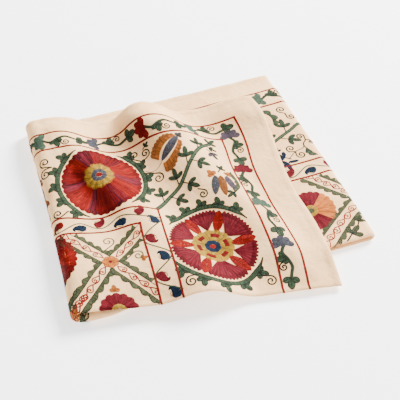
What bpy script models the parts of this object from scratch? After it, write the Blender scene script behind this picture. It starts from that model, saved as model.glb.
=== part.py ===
"""Suzani cloth, folded in half along its length and then in three across it.

The embroidered faces are outside. Flat, the cloth is one rectangle: u runs along
its length from the free hem of the top third, v runs across it from the
lengthwise fold, positive on the face that lies uppermost on the top third.
Every vertex of a flat grid is moved to its folded place by fold_grid().
"""

import bpy
import numpy as np

CM = 0.01
LENGTH = 1.405
HALF_WIDTH = 0.48
THICKNESS = 0.0015
FLOOR_Z = 0.5 * THICKNESS
DOUBLED_GAP = 0.0045

# The left fold runs a little askew, so the top third lies turned on the middle third.
SKEW = np.radians(5.2)
LEFT_FOLD_U = 0.455
LEFT_FOLD_X = -0.2690
LEFT_FOLD_Y = -0.2055
RIGHT_FOLD_NEAR_X = 0.2745
RIGHT_FOLD_BACK_X = 0.2700
INNER_STEP = 0.0045
BOTTOM_UPPER_Z = 0.0050

# The cloth taken up by the rounded lengthwise fold, on each face.
EDGE_CLOTH = 0.009
# How far the outer loop's extra cloth takes to ease into the face, from the lengthwise fold.
EASE_WIDTH = 0.20
SUPPORT_CLEARANCE = 0.0030
SUPPORT_SOFTNESS = 0.0015
SUPPORT_RAMP_START = -0.2355
SUPPORT_RAMP = 0.025
HEM_TUCK = 0.003
MOST_RISE = 0.85
# How far past a fold's loop its height takes to reach the layer's own.
LOOP_BLEND = 0.02
# The fine grid on which the top third's shortening is added up: its reach and its points.
TOP_REACH = 0.51
TOP_POINTS = (103, 49)

# Top third, in centimetres: sections across it, by their distance from the lengthwise fold.
SECTIONS = (0, 4, 8, 14, 21, 30, 38, 43, 48)
# Each crest or trough: its distance from the free hem and its height, at each section.
FOLDS = (
    ("free hem", (0, 0, 0, 0, 0, 0, 0, 0, 0), (1.0, 1.7, 2.5, 2.6, 2.6, 2.9, 3.7, 5.0, 4.2)),
    (
        "right trough",
        (1.2, 1.6, 2.2, 3.2, 4.5, 6.6, 9.4, 12.2, 14.6),
        (1.0, 1.6, 2.5, 2.5, 2.5, 2.5, 2.5, 2.4, 2.1),
    ),
    (
        "right crest",
        (4, 5.6, 7.6, 9.8, 12.6, 17.2, 21.4, 24.1, 25.4),
        (1.1, 2.2, 3.5, 4.3, 4.8, 5.4, 6.1, 7.0, 6.0),
    ),
    (
        "middle trough",
        (13, 14.8, 17, 20, 24, 28.5, 32.2, 34, 34.2),
        (1.0, 1.7, 2.5, 2.5, 2.5, 2.4, 2.3, 2.1, 1.7),
    ),
    (
        "left crest",
        (23, 24.5, 26.3, 29, 32, 37, 41, 43.6, 43.9),
        (4.2, 4.4, 4.5, 4.5, 4.6, 4.9, 5.1, 5.1, 4.1),
    ),
    (
        "left trough",
        (31.5, 33, 34.5, 37, 40, 42.3, 43.8, 45, 45.5),
        (2.2, 3.3, 3.9, 3.4, 2.8, 3.6, 4.8, 5.0, 4.0),
    ),
)
LEFT_END_Z = (2.9, 3.6, 4.2, 4.0, 3.7, 4.0, 4.6, 4.7, 3.7)
# How far the free hem lies in from its straight line, where the cloth is pushed together.
HEM_PUSHED_IN = (0, 0, 0, 0.2, 1.1, 1.6, 1.3, 0.5, 2.8)
PUSHED_WIDTH = 0.30
# How far the left fold bows in from its straight line; negative is outward.
LEFT_FOLD_BOW = (-0.2, -0.15, 0, 0, 0, -0.2, -0.5, -0.7, -0.7)

# Middle third, in centimetres: heights of its layers from the left fold to the right fold.
MIDDLE_X = (-27, -22, -18, -12, -4, 10, 22, 27)
UPPER_NEAR_Z = (1.85, 1.85, 1.4, 1.35, 1.4, 1.45, 1.6, 1.75)
UPPER_BACK_Z = (0.7, 0.7, 0.95, 1.35, 1.4, 1.5, 1.9, 2.05)
UNDER_Z = (0.12, 0.12, 0.35, 0.95, 1.0, 1.0, 1.05, 1.05)
UPPER_NEAR_WIDTH = 0.12
# The layers lie closer together at the long hems.
HEM_PRESS_START = 0.41
HEM_PRESS = 0.4

# The lengthwise fold, in centimetres along the cloth: how far its rounded edge stands out.
EDGE_U = (0, 20, 36, 44, 46.5, 49, 51.5, 54, 57, 61, 75, 90, 141)
EDGE_BULGE = (0.75, 0.75, 0.7, 0.8, 1.1, 1.6, 1.7, 1.4, 0.9, 0.5, 0.5, 0.8, 0.8)
# How far the inner loop of the left fold sits inside the outer one, across the cloth.
INNER_W = (0, 4, 12, 48)
INNER_GAP = (1.4, 0.9, 0.5, 0.5)

# Flat grid, in centimetres: where each span starts and its number of steps. Spans over a fold are fine.
GRID_ALONG = ((0, 3), (5, 16), (39, 26), (56, 11), (96, 22), (106, 6), (140.5, 0))
GRID_ACROSS = (
    (-48, 3),
    (-42, 6),
    (-17, 4),
    (-5, 3),
    (-0.9, 6),
    (0.9, 3),
    (5, 5),
    (21, 5),
    (36, 5),
    (48, 0),
)
# The middle of the folded cloth's base, which becomes the origin.
BASE_CENTRE = (0.0021, -0.0042, 0.0)
CLOTH_COLOUR = (0.84, 0.73, 0.62, 1.0)
CLOTH_ROUGHNESS = 0.9


def smooth(x):
    """An S-shaped step from 0 to 1."""
    x = np.clip(x, 0.0, 1.0)
    return x * x * (3 - 2 * x)


def curve(x, xs, ys):
    """A smooth curve through a table's rows, with no overshoot between them."""
    xs = np.asarray(xs, float)
    ys = np.asarray(ys, float)
    step = np.diff(xs)
    slope = np.diff(ys) / step
    same_way = slope[:-1] * slope[1:] > 0
    total = np.where(same_way, slope[:-1] + slope[1:], 1.0)
    between = np.where(same_way, 2 * slope[:-1] * slope[1:] / total, 0.0)
    tangent = np.concatenate([slope[:1], between, slope[-1:]])
    x = np.clip(x, xs[0], xs[-1])
    i = np.clip(np.searchsorted(xs, x) - 1, 0, len(step) - 1)
    t = (x - xs[i]) / step[i]
    value = ys[i] * (1 + 2 * t) * (1 - t) ** 2 + ys[i + 1] * t * t * (3 - 2 * t)
    lean = tangent[i] * t * (1 - t) ** 2 + tangent[i + 1] * t * t * (t - 1)
    return value + lean * step[i]


def quarter_ellipse(a, b):
    return np.pi / 4 * (3 * (a + b) - np.sqrt((3 * a + b) * (a + 3 * b)))


def pressed(z, w):
    return z - (z - FLOOR_Z) * HEM_PRESS * smooth((w - HEM_PRESS_START) / (HALF_WIDTH - HEM_PRESS_START))


def middle_upper(x, w):
    near = curve(x / CM, MIDDLE_X, UPPER_NEAR_Z) * CM
    back = curve(x / CM, MIDDLE_X, UPPER_BACK_Z) * CM
    return pressed(near + (back - near) * smooth(w / UPPER_NEAR_WIDTH), w)


def middle_under(x, w):
    return pressed(curve(x / CM, MIDDLE_X, UNDER_Z) * CM, w)


def left_loop(w):
    """The left fold's two loops at distance w from the lengthwise fold: outer, then inner."""
    upper = curve(w / CM, SECTIONS, LEFT_END_Z) * CM
    high = (upper, upper - DOUBLED_GAP)
    low = (middle_under(LEFT_FOLD_X, w), middle_upper(LEFT_FOLD_X, w))
    bow = curve(w / CM, SECTIONS, LEFT_FOLD_BOW) * CM
    start = (bow, bow + curve(w / CM, INNER_W, INNER_GAP) * CM)
    loops = []
    for side in (0, 1):
        radius = 0.5 * (high[side] - low[side])
        loops.append({"radius": radius, "end": start[side] + radius, "low": low[side], "high": high[side]})
        loops[side]["own"] = quarter_ellipse(radius, radius)
    ease(loops, w)
    tuck = loops[1]["end"] - loops[1]["cloth"] - loops[0]["end"] + loops[0]["cloth"] + HEM_TUCK
    loops[0]["u"] = LEFT_FOLD_U + w * np.tan(SKEW) - bow
    loops[1]["u"] = loops[0]["u"] - tuck * smooth(w / EASE_WIDTH)
    return loops


def ease(loops, w):
    """At the lengthwise fold both loops share the same cloth, and further in each has its own."""
    mean = 0.5 * (loops[0]["own"] + loops[1]["own"])
    for loop in loops:
        loop["cloth"] = mean + (loop["own"] - mean) * smooth(w / EASE_WIDTH)


def right_loop(w, left):
    """The right fold's two loops at distance w from the lengthwise fold: inner, then outer."""
    outer_x = RIGHT_FOLD_NEAR_X + (RIGHT_FOLD_BACK_X - RIGHT_FOLD_NEAR_X) * w / HALF_WIDTH
    edge = (outer_x - INNER_STEP, outer_x)
    high = (middle_under(outer_x, w), middle_upper(outer_x, w))
    low = (pressed(BOTTOM_UPPER_Z, w), FLOOR_Z)
    loops = []
    for side in (0, 1):
        radius = 0.5 * (high[side] - low[side])
        loops.append({"radius": radius, "end": edge[side] - radius, "low": low[side], "high": high[side]})
        loops[side]["own"] = quarter_ellipse(radius, radius)
    ease(loops, w)
    for side in (0, 1):
        moved = (left[side]["u"] - LEFT_FOLD_U - w * np.tan(SKEW)) * np.cos(SKEW) ** 2
        slack = (left[side]["end"] - left[side]["cloth"]) * np.cos(SKEW)
        start = LEFT_FOLD_U + loops[side]["end"] - LEFT_FOLD_X + moved - slack
        loops[side]["u"] = start + loops[side]["cloth"]
    return loops


def top_profile(p, w):
    """Height of the top third's face at distances p from the free hem, before it meets the stack."""
    left = left_loop(w)[0]
    places = [curve(w / CM, SECTIONS, place) * CM for _, place, _ in FOLDS]
    heights = [curve(w / CM, SECTIONS, height) * CM for _, _, height in FOLDS]
    places.append(left["u"] - left["cloth"] / np.cos(SKEW))
    heights.append(left["high"])
    places[-2] = min(places[-2], 0.5 * (places[-3] + places[-1]))
    i = np.clip(np.searchsorted(places, p) - 1, 0, len(places) - 2)
    places, heights = np.array(places), np.array(heights)
    t = (p - places[i]) / (places[i + 1] - places[i])
    return heights[i] + (heights[i + 1] - heights[i]) * (0.5 - 0.5 * np.cos(np.pi * np.clip(t, 0, 1)))


def drawn_in():
    """How far the crests draw the top third in, along its length and across it, on a fine grid."""
    p = np.linspace(0, TOP_REACH, TOP_POINTS[0])
    w = np.linspace(0, HALF_WIDTH, TOP_POINTS[1])
    z = np.array([top_profile(p, each) for each in w])
    rise_p, rise_w = np.gradient(z, p, axis=1), np.gradient(z, w, axis=0)
    lost_p = (1 - np.sqrt(1 - np.minimum(rise_p**2, MOST_RISE))) * (p[1] - p[0])
    lost_w = (1 - np.sqrt(1 - np.minimum(rise_w**2, MOST_RISE))) * (w[1] - w[0])
    along = np.cumsum(lost_p[:, ::-1], axis=1)[:, ::-1]
    pushed = curve(w / CM, SECTIONS, HEM_PUSHED_IN) * CM
    along += pushed[:, None] * smooth(1 - p / PUSHED_WIDTH)
    across = np.cumsum(lost_w, axis=0)
    return p, w, along, across


def grid_value(grid, xs, ys, x, y):
    """Bilinear value of grid[y, x]."""
    i = np.clip((x - xs[0]) / (xs[1] - xs[0]), 0, len(xs) - 1.001)
    j = np.clip((y - ys[0]) / (ys[1] - ys[0]), 0, len(ys) - 1.001)
    a, b = i.astype(int), j.astype(int)
    i, j = i - a, j - b
    lower = grid[b, a] * (1 - i) + grid[b, a + 1] * i
    upper = grid[b + 1, a] * (1 - i) + grid[b + 1, a + 1] * i
    return lower * (1 - j) + upper * j


DRAWN_IN = drawn_in()


def face_row(u, w, side):
    """The folded places of cloth points u, in one line at distance w, on face 0 or 1."""
    left = left_loop(w)
    right = right_loop(w, left)
    loop, turn = left[side], right[side]
    p_grid, w_grid, along_grid, across_grid = DRAWN_IN
    sin, cos = np.sin(SKEW), np.cos(SKEW)
    d = (loop["u"] - u) * cos
    t = (u - LEFT_FOLD_U) * sin + w * cos
    ones = np.full_like(u, w)
    on_top = d > loop["cloth"]
    # The under face of the top third follows the upper face a little inside it.
    slack, upper_slack = loop["end"] - loop["cloth"], left[0]["end"] - left[0]["cloth"]
    offset = (loop["u"] - left[0]["u"]) * cos + slack - upper_slack
    beside = u - offset / cos
    start = np.full_like(u, loop["u"] - (loop["cloth"] + offset) / cos)
    fold_along = grid_value(along_grid, p_grid, w_grid, start, ones)
    along = grid_value(along_grid, p_grid, w_grid, beside, ones) - fold_along
    along = np.where(on_top, np.maximum(along, 0.0), 0.0)
    fold_across = grid_value(across_grid, p_grid, w_grid, start, ones)
    across = np.where(on_top, grid_value(across_grid, p_grid, w_grid, beside, ones), fold_across)
    around = np.clip(d / loop["cloth"], -1, 1)
    angle = 0.5 * np.pi * around
    n = loop["end"] - loop["radius"] * np.cos(angle)
    n = n + np.maximum(np.abs(d) - loop["cloth"], 0) - along * cos - (across - fold_across) * sin
    t = t + along * sin - across * cos * smooth(0.5 * (around + 1))
    x = LEFT_FOLD_X + t * sin + n * cos
    y = LEFT_FOLD_Y + t * cos - n * sin
    z_mid = middle_upper(x, w) if side else middle_under(x, w)
    z_loop = 0.5 * (loop["high"] + loop["low"]) + 0.5 * (loop["high"] - loop["low"]) * np.sin(angle)
    lift = DOUBLED_GAP if side == 0 else 0.0
    z_top = top_profile(beside, w) - DOUBLED_GAP
    ramp = smooth((y - SUPPORT_RAMP_START) / SUPPORT_RAMP)
    support = middle_upper(x, np.maximum(y - LEFT_FOLD_Y, 0)) * ramp + SUPPORT_CLEARANCE
    z_top = 0.5 * (z_top + support + np.sqrt((z_top - support) ** 2 + SUPPORT_SOFTNESS**2)) + lift
    blend = smooth((d - loop["cloth"]) / LOOP_BLEND)
    z_top = loop["high"] + (z_top - loop["high"]) * np.where(on_top, np.maximum(blend, 0), 0)
    z_low = loop["low"] + (z_mid - loop["low"]) * smooth((-d - loop["cloth"]) / LOOP_BLEND)
    z = np.where(on_top, z_top, np.where(d < -loop["cloth"], z_low, z_loop))
    # Past the right fold the cloth runs back to the left, on the floor.
    e = u - turn["u"]
    past = e > -turn["cloth"]
    around = np.clip(e / turn["cloth"], -1, 1)
    bend = 0.5 * np.pi * around
    x_turn = turn["end"] + turn["radius"] * np.cos(bend) - np.maximum(e - turn["cloth"], 0)
    z_turn = 0.5 * (turn["high"] + turn["low"]) - 0.5 * (turn["high"] - turn["low"]) * np.sin(bend)
    x = np.where(past, x_turn, x)
    z = np.where(past, z_turn, z)
    outward = SKEW * (1 + np.sin(angle)) * np.where(past, 0, 1)
    return np.stack([x, y, z], axis=1), outward


def fold_grid(u, v):
    """The folded place of every point of a flat grid, as an array [u, v, xyz]."""
    grid = np.zeros((len(u), len(v), 3))
    near, outward = face_row(u, EDGE_CLOTH, 0)
    under, _ = face_row(u, EDGE_CLOTH, 1)
    middle, half = 0.5 * (near + under), 0.5 * (near - under)
    bulge = curve(u / CM, EDGE_U, EDGE_BULGE) * CM
    out = np.stack([-np.sin(outward), -np.cos(outward), 0 * outward], axis=1) * bulge[:, None]
    for j, each in enumerate(v):
        if abs(each) < EDGE_CLOTH:
            angle = 0.5 * np.pi * (1 - each / EDGE_CLOTH)
            grid[:, j] = middle + half * np.cos(angle) + out * np.sin(angle)
        else:
            grid[:, j] = face_row(u, abs(each), 0 if each > 0 else 1)[0]
    return grid


def stations(spans):
    """Where the flat grid's lines lie, in metres, from rows of start and number of steps."""
    places = []
    for (start, steps), (end, _) in zip(spans, spans[1:]):
        places += [start + (end - start) * i / steps for i in range(steps)]
    return np.array(places + [spans[-1][0]]) * CM


def cloth_material():
    material = bpy.data.materials.new("embroidered_cotton")
    material.use_nodes = True
    shader = material.node_tree.nodes["Principled BSDF"]
    shader.inputs["Base Color"].default_value = CLOTH_COLOUR
    shader.inputs["Roughness"].default_value = CLOTH_ROUGHNESS
    shader.inputs["Metallic"].default_value = 0.0
    return material


def main():
    for old in list(bpy.data.objects):
        bpy.data.objects.remove(old, do_unlink=True)
    collection = bpy.data.collections.new("folded_suzani_cloth")
    bpy.context.scene.collection.children.link(collection)

    along, across = stations(GRID_ALONG), stations(GRID_ACROSS)
    folded = fold_grid(along, across) - np.array(BASE_CENTRE)
    bpy.ops.mesh.primitive_grid_add(x_subdivisions=len(along) - 1, y_subdivisions=len(across) - 1, size=1)
    cloth = bpy.context.active_object
    cloth.name = "suzani_cloth"
    cloth.data.name = "suzani_cloth"
    for vertex in cloth.data.vertices:
        i = round((vertex.co.x + 0.5) * (len(along) - 1))
        j = round((vertex.co.y + 0.5) * (len(across) - 1))
        vertex.co = folded[i, j]
    cloth.data.polygons.foreach_set("use_smooth", [True] * len(cloth.data.polygons))
    thickness = cloth.modifiers.new("cloth thickness", "SOLIDIFY")
    thickness.thickness = THICKNESS
    thickness.offset = 0.0
    cloth.data.materials.append(cloth_material())
    for owner in list(cloth.users_collection):
        owner.objects.unlink(cloth)
    collection.objects.link(cloth)


main()
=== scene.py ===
"""Folded suzani: cream cotton worked with rosettes, vines and a trellis in coloured thread.

The cloth is folded from one flat rectangle. u runs along it from the free hem of the top
third and v across it from the lengthwise fold. v is positive on the face that lies uppermost
on the top third and negative on the face that lies uppermost on the middle third. Every
stitch is drawn on the flat cloth, in centimetres, and then laid on the folds.
"""

import bpy
import numpy as np
from bpy.props import FloatProperty, FloatVectorProperty, PointerProperty
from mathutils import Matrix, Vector


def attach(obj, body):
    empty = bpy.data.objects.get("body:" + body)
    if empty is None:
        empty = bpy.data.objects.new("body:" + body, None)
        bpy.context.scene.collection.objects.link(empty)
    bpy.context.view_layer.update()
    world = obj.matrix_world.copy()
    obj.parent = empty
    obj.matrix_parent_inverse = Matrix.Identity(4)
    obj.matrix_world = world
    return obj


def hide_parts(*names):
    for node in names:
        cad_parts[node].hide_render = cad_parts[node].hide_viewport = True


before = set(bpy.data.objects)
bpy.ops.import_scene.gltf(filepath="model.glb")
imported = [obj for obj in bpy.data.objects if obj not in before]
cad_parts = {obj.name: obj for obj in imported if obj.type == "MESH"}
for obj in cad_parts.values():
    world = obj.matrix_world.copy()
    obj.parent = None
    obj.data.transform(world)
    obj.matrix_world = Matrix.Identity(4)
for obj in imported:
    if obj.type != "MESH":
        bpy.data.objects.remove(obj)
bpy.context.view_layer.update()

bl_info = {
    "name": "Folded Suzani",
    "version": (1, 0, 0),
    "blender": (4, 5, 0),
    "location": "3D View > Sidebar > Suzani",
    "description": "A folded cotton cloth with raised traditional embroidery",
    "category": "Object",
}

CM = 0.01
MM = 0.001

# --- the fold -------------------------------------------------------------------------------

LENGTH = 1.405
HALF_WIDTH = 0.48
THICKNESS = 0.0015
FLOOR_Z = 0.5 * THICKNESS
DOUBLED_GAP = 0.0045

# The left fold runs a little askew, so the top third lies turned on the middle third.
SKEW = np.radians(5.2)
LEFT_FOLD_U = 0.455
LEFT_FOLD_X = -0.2690
LEFT_FOLD_Y = -0.2055
RIGHT_FOLD_NEAR_X = 0.2745
RIGHT_FOLD_BACK_X = 0.2700
INNER_STEP = 0.0045
BOTTOM_UPPER_Z = 0.0050

# The cloth taken up by the rounded lengthwise fold, on each face.
EDGE_CLOTH = 0.009
# How far the outer loop's extra cloth takes to ease into the face, from the lengthwise fold.
EASE_WIDTH = 0.20
SUPPORT_CLEARANCE = 0.0030
SUPPORT_SOFTNESS = 0.0015
SUPPORT_RAMP_START = -0.2355
SUPPORT_RAMP = 0.025
HEM_TUCK = 0.003
MOST_RISE = 0.85
# How far past a fold's loop its height takes to reach the layer's own.
LOOP_BLEND = 0.02
# The fine grid on which the top third's shortening is added up: its reach and its points.
TOP_REACH = 0.51
TOP_POINTS = (103, 49)

# Top third, in centimetres: sections across it, by their distance from the lengthwise fold.
SECTIONS = (0, 4, 8, 14, 21, 30, 38, 43, 48)
# Each crest or trough: its distance from the free hem and its height, at each section.
FOLDS = (
    ("free hem", (0, 0, 0, 0, 0, 0, 0, 0, 0), (1.0, 1.7, 2.5, 2.6, 2.6, 2.9, 3.7, 5.0, 4.2)),
    (
        "right trough",
        (1.2, 1.6, 2.2, 3.2, 4.5, 6.6, 9.4, 12.2, 14.6),
        (1.0, 1.6, 2.5, 2.5, 2.5, 2.5, 2.5, 2.4, 2.1),
    ),
    (
        "right crest",
        (4, 5.6, 7.6, 9.8, 12.6, 17.2, 21.4, 24.1, 25.4),
        (1.1, 2.2, 3.5, 4.3, 4.8, 5.4, 6.1, 7.0, 6.0),
    ),
    (
        "middle trough",
        (13, 14.8, 17, 20, 24, 28.5, 32.2, 34, 34.2),
        (1.0, 1.7, 2.5, 2.5, 2.5, 2.4, 2.3, 2.1, 1.7),
    ),
    (
        "left crest",
        (23, 24.5, 26.3, 29, 32, 37, 41, 43.6, 43.9),
        (4.2, 4.4, 4.5, 4.5, 4.6, 4.9, 5.1, 5.1, 4.1),
    ),
    (
        "left trough",
        (31.5, 33, 34.5, 37, 40, 42.3, 43.8, 45, 45.5),
        (2.2, 3.3, 3.9, 3.4, 2.8, 3.6, 4.8, 5.0, 4.0),
    ),
)
LEFT_END_Z = (2.9, 3.6, 4.2, 4.0, 3.7, 4.0, 4.6, 4.7, 3.7)
# How far the free hem lies in from its straight line, where the cloth is pushed together.
HEM_PUSHED_IN = (0, 0, 0, 0.2, 1.1, 1.6, 1.3, 0.5, 2.8)
PUSHED_WIDTH = 0.30
# How far the left fold bows in from its straight line; negative is outward.
LEFT_FOLD_BOW = (-0.2, -0.15, 0, 0, 0, -0.2, -0.5, -0.7, -0.7)

# Middle third, in centimetres: heights of its layers from the left fold to the right fold.
MIDDLE_X = (-27, -22, -18, -12, -4, 10, 22, 27)
UPPER_NEAR_Z = (1.85, 1.85, 1.4, 1.35, 1.4, 1.45, 1.6, 1.75)
UPPER_BACK_Z = (0.7, 0.7, 0.95, 1.35, 1.4, 1.5, 1.9, 2.05)
UNDER_Z = (0.12, 0.12, 0.35, 0.95, 1.0, 1.0, 1.05, 1.05)
UPPER_NEAR_WIDTH = 0.12
# The layers lie closer together at the long hems.
HEM_PRESS_START = 0.41
HEM_PRESS = 0.4

# The lengthwise fold, in centimetres along the cloth: how far its rounded edge stands out.
EDGE_U = (0, 20, 36, 44, 46.5, 49, 51.5, 54, 57, 61, 75, 90, 141)
EDGE_BULGE = (0.75, 0.75, 0.7, 0.8, 1.1, 1.6, 1.7, 1.4, 0.9, 0.5, 0.5, 0.8, 0.8)
# How far the inner loop of the left fold sits inside the outer one, across the cloth.
INNER_W = (0, 4, 12, 48)
INNER_GAP = (1.4, 0.9, 0.5, 0.5)

BASE_CENTRE = (0.0021, -0.0042, 0.0)

# The sheet's grid, in centimetres: where each span starts and its number of steps.
GRID_ALONG = ((0, 3), (1.3, 110), (56, 20), (84, 48), (108, 25), (139.2, 3), (140.5, 0))
GRID_ACROSS = (
    (-48, 3),
    (-46.7, 66),
    (-12, 26),
    (-0.9, 12),
    (0.9, 26),
    (12, 66),
    (46.7, 3),
    (48, 0),
)


def smooth(x):
    """An S-shaped step from 0 to 1."""
    x = np.clip(x, 0.0, 1.0)
    return x * x * (3 - 2 * x)


def curve(x, xs, ys):
    """A smooth curve through a table's rows, with no overshoot between them."""
    xs = np.asarray(xs, float)
    ys = np.asarray(ys, float)
    step = np.diff(xs)
    slope = np.diff(ys) / step
    same_way = slope[:-1] * slope[1:] > 0
    total = np.where(same_way, slope[:-1] + slope[1:], 1.0)
    between = np.where(same_way, 2 * slope[:-1] * slope[1:] / total, 0.0)
    tangent = np.concatenate([slope[:1], between, slope[-1:]])
    x = np.clip(x, xs[0], xs[-1])
    i = np.clip(np.searchsorted(xs, x) - 1, 0, len(step) - 1)
    t = (x - xs[i]) / step[i]
    value = ys[i] * (1 + 2 * t) * (1 - t) ** 2 + ys[i + 1] * t * t * (3 - 2 * t)
    lean = tangent[i] * t * (1 - t) ** 2 + tangent[i + 1] * t * t * (t - 1)
    return value + lean * step[i]


def quarter_ellipse(a, b):
    return np.pi / 4 * (3 * (a + b) - np.sqrt((3 * a + b) * (a + 3 * b)))


def pressed(z, w):
    return z - (z - FLOOR_Z) * HEM_PRESS * smooth((w - HEM_PRESS_START) / (HALF_WIDTH - HEM_PRESS_START))


def middle_upper(x, w):
    near = curve(x / CM, MIDDLE_X, UPPER_NEAR_Z) * CM
    back = curve(x / CM, MIDDLE_X, UPPER_BACK_Z) * CM
    return pressed(near + (back - near) * smooth(w / UPPER_NEAR_WIDTH), w)


def middle_under(x, w):
    return pressed(curve(x / CM, MIDDLE_X, UNDER_Z) * CM, w)


def left_loop(w):
    """The left fold's two loops at distance w from the lengthwise fold: outer, then inner."""
    upper = curve(w / CM, SECTIONS, LEFT_END_Z) * CM
    high = (upper, upper - DOUBLED_GAP)
    low = (middle_under(LEFT_FOLD_X, w), middle_upper(LEFT_FOLD_X, w))
    bow = curve(w / CM, SECTIONS, LEFT_FOLD_BOW) * CM
    start = (bow, bow + curve(w / CM, INNER_W, INNER_GAP) * CM)
    loops = []
    for side in (0, 1):
        radius = 0.5 * (high[side] - low[side])
        loops.append({"radius": radius, "end": start[side] + radius, "low": low[side], "high": high[side]})
        loops[side]["own"] = quarter_ellipse(radius, radius)
    ease(loops, w)
    tuck = loops[1]["end"] - loops[1]["cloth"] - loops[0]["end"] + loops[0]["cloth"] + HEM_TUCK
    loops[0]["u"] = LEFT_FOLD_U + w * np.tan(SKEW) - bow
    loops[1]["u"] = loops[0]["u"] - tuck * smooth(w / EASE_WIDTH)
    return loops


def ease(loops, w):
    """At the lengthwise fold both loops share the same cloth, and further in each has its own."""
    mean = 0.5 * (loops[0]["own"] + loops[1]["own"])
    for loop in loops:
        loop["cloth"] = mean + (loop["own"] - mean) * smooth(w / EASE_WIDTH)


def right_loop(w, left):
    """The right fold's two loops at distance w from the lengthwise fold: inner, then outer."""
    outer_x = RIGHT_FOLD_NEAR_X + (RIGHT_FOLD_BACK_X - RIGHT_FOLD_NEAR_X) * w / HALF_WIDTH
    edge = (outer_x - INNER_STEP, outer_x)
    high = (middle_under(outer_x, w), middle_upper(outer_x, w))
    low = (pressed(BOTTOM_UPPER_Z, w), FLOOR_Z)
    loops = []
    for side in (0, 1):
        radius = 0.5 * (high[side] - low[side])
        loops.append({"radius": radius, "end": edge[side] - radius, "low": low[side], "high": high[side]})
        loops[side]["own"] = quarter_ellipse(radius, radius)
    ease(loops, w)
    for side in (0, 1):
        moved = (left[side]["u"] - LEFT_FOLD_U - w * np.tan(SKEW)) * np.cos(SKEW) ** 2
        slack = (left[side]["end"] - left[side]["cloth"]) * np.cos(SKEW)
        start = LEFT_FOLD_U + loops[side]["end"] - LEFT_FOLD_X + moved - slack
        loops[side]["u"] = start + loops[side]["cloth"]
    return loops


def top_profile(p, w):
    """Height of the top third's face at distances p from the free hem, before it meets the stack."""
    left = left_loop(w)[0]
    places = [curve(w / CM, SECTIONS, place) * CM for _, place, _ in FOLDS]
    heights = [curve(w / CM, SECTIONS, height) * CM for _, _, height in FOLDS]
    places.append(left["u"] - left["cloth"] / np.cos(SKEW))
    heights.append(left["high"])
    places[-2] = min(places[-2], 0.5 * (places[-3] + places[-1]))
    i = np.clip(np.searchsorted(places, p) - 1, 0, len(places) - 2)
    places, heights = np.array(places), np.array(heights)
    t = (p - places[i]) / (places[i + 1] - places[i])
    return heights[i] + (heights[i + 1] - heights[i]) * (0.5 - 0.5 * np.cos(np.pi * np.clip(t, 0, 1)))


def drawn_in():
    """How far the crests draw the top third in, along its length and across it, on a fine grid."""
    p = np.linspace(0, TOP_REACH, TOP_POINTS[0])
    w = np.linspace(0, HALF_WIDTH, TOP_POINTS[1])
    z = np.array([top_profile(p, each) for each in w])
    rise_p, rise_w = np.gradient(z, p, axis=1), np.gradient(z, w, axis=0)
    lost_p = (1 - np.sqrt(1 - np.minimum(rise_p**2, MOST_RISE))) * (p[1] - p[0])
    lost_w = (1 - np.sqrt(1 - np.minimum(rise_w**2, MOST_RISE))) * (w[1] - w[0])
    along = np.cumsum(lost_p[:, ::-1], axis=1)[:, ::-1]
    pushed = curve(w / CM, SECTIONS, HEM_PUSHED_IN) * CM
    along += pushed[:, None] * smooth(1 - p / PUSHED_WIDTH)
    across = np.cumsum(lost_w, axis=0)
    return p, w, along, across


def grid_value(grid, xs, ys, x, y):
    """Bilinear value of grid[y, x]."""
    i = np.clip((x - xs[0]) / (xs[1] - xs[0]), 0, len(xs) - 1.001)
    j = np.clip((y - ys[0]) / (ys[1] - ys[0]), 0, len(ys) - 1.001)
    a, b = i.astype(int), j.astype(int)
    i, j = i - a, j - b
    lower = grid[b, a] * (1 - i) + grid[b, a + 1] * i
    upper = grid[b + 1, a] * (1 - i) + grid[b + 1, a + 1] * i
    return lower * (1 - j) + upper * j


DRAWN_IN = drawn_in()


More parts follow.
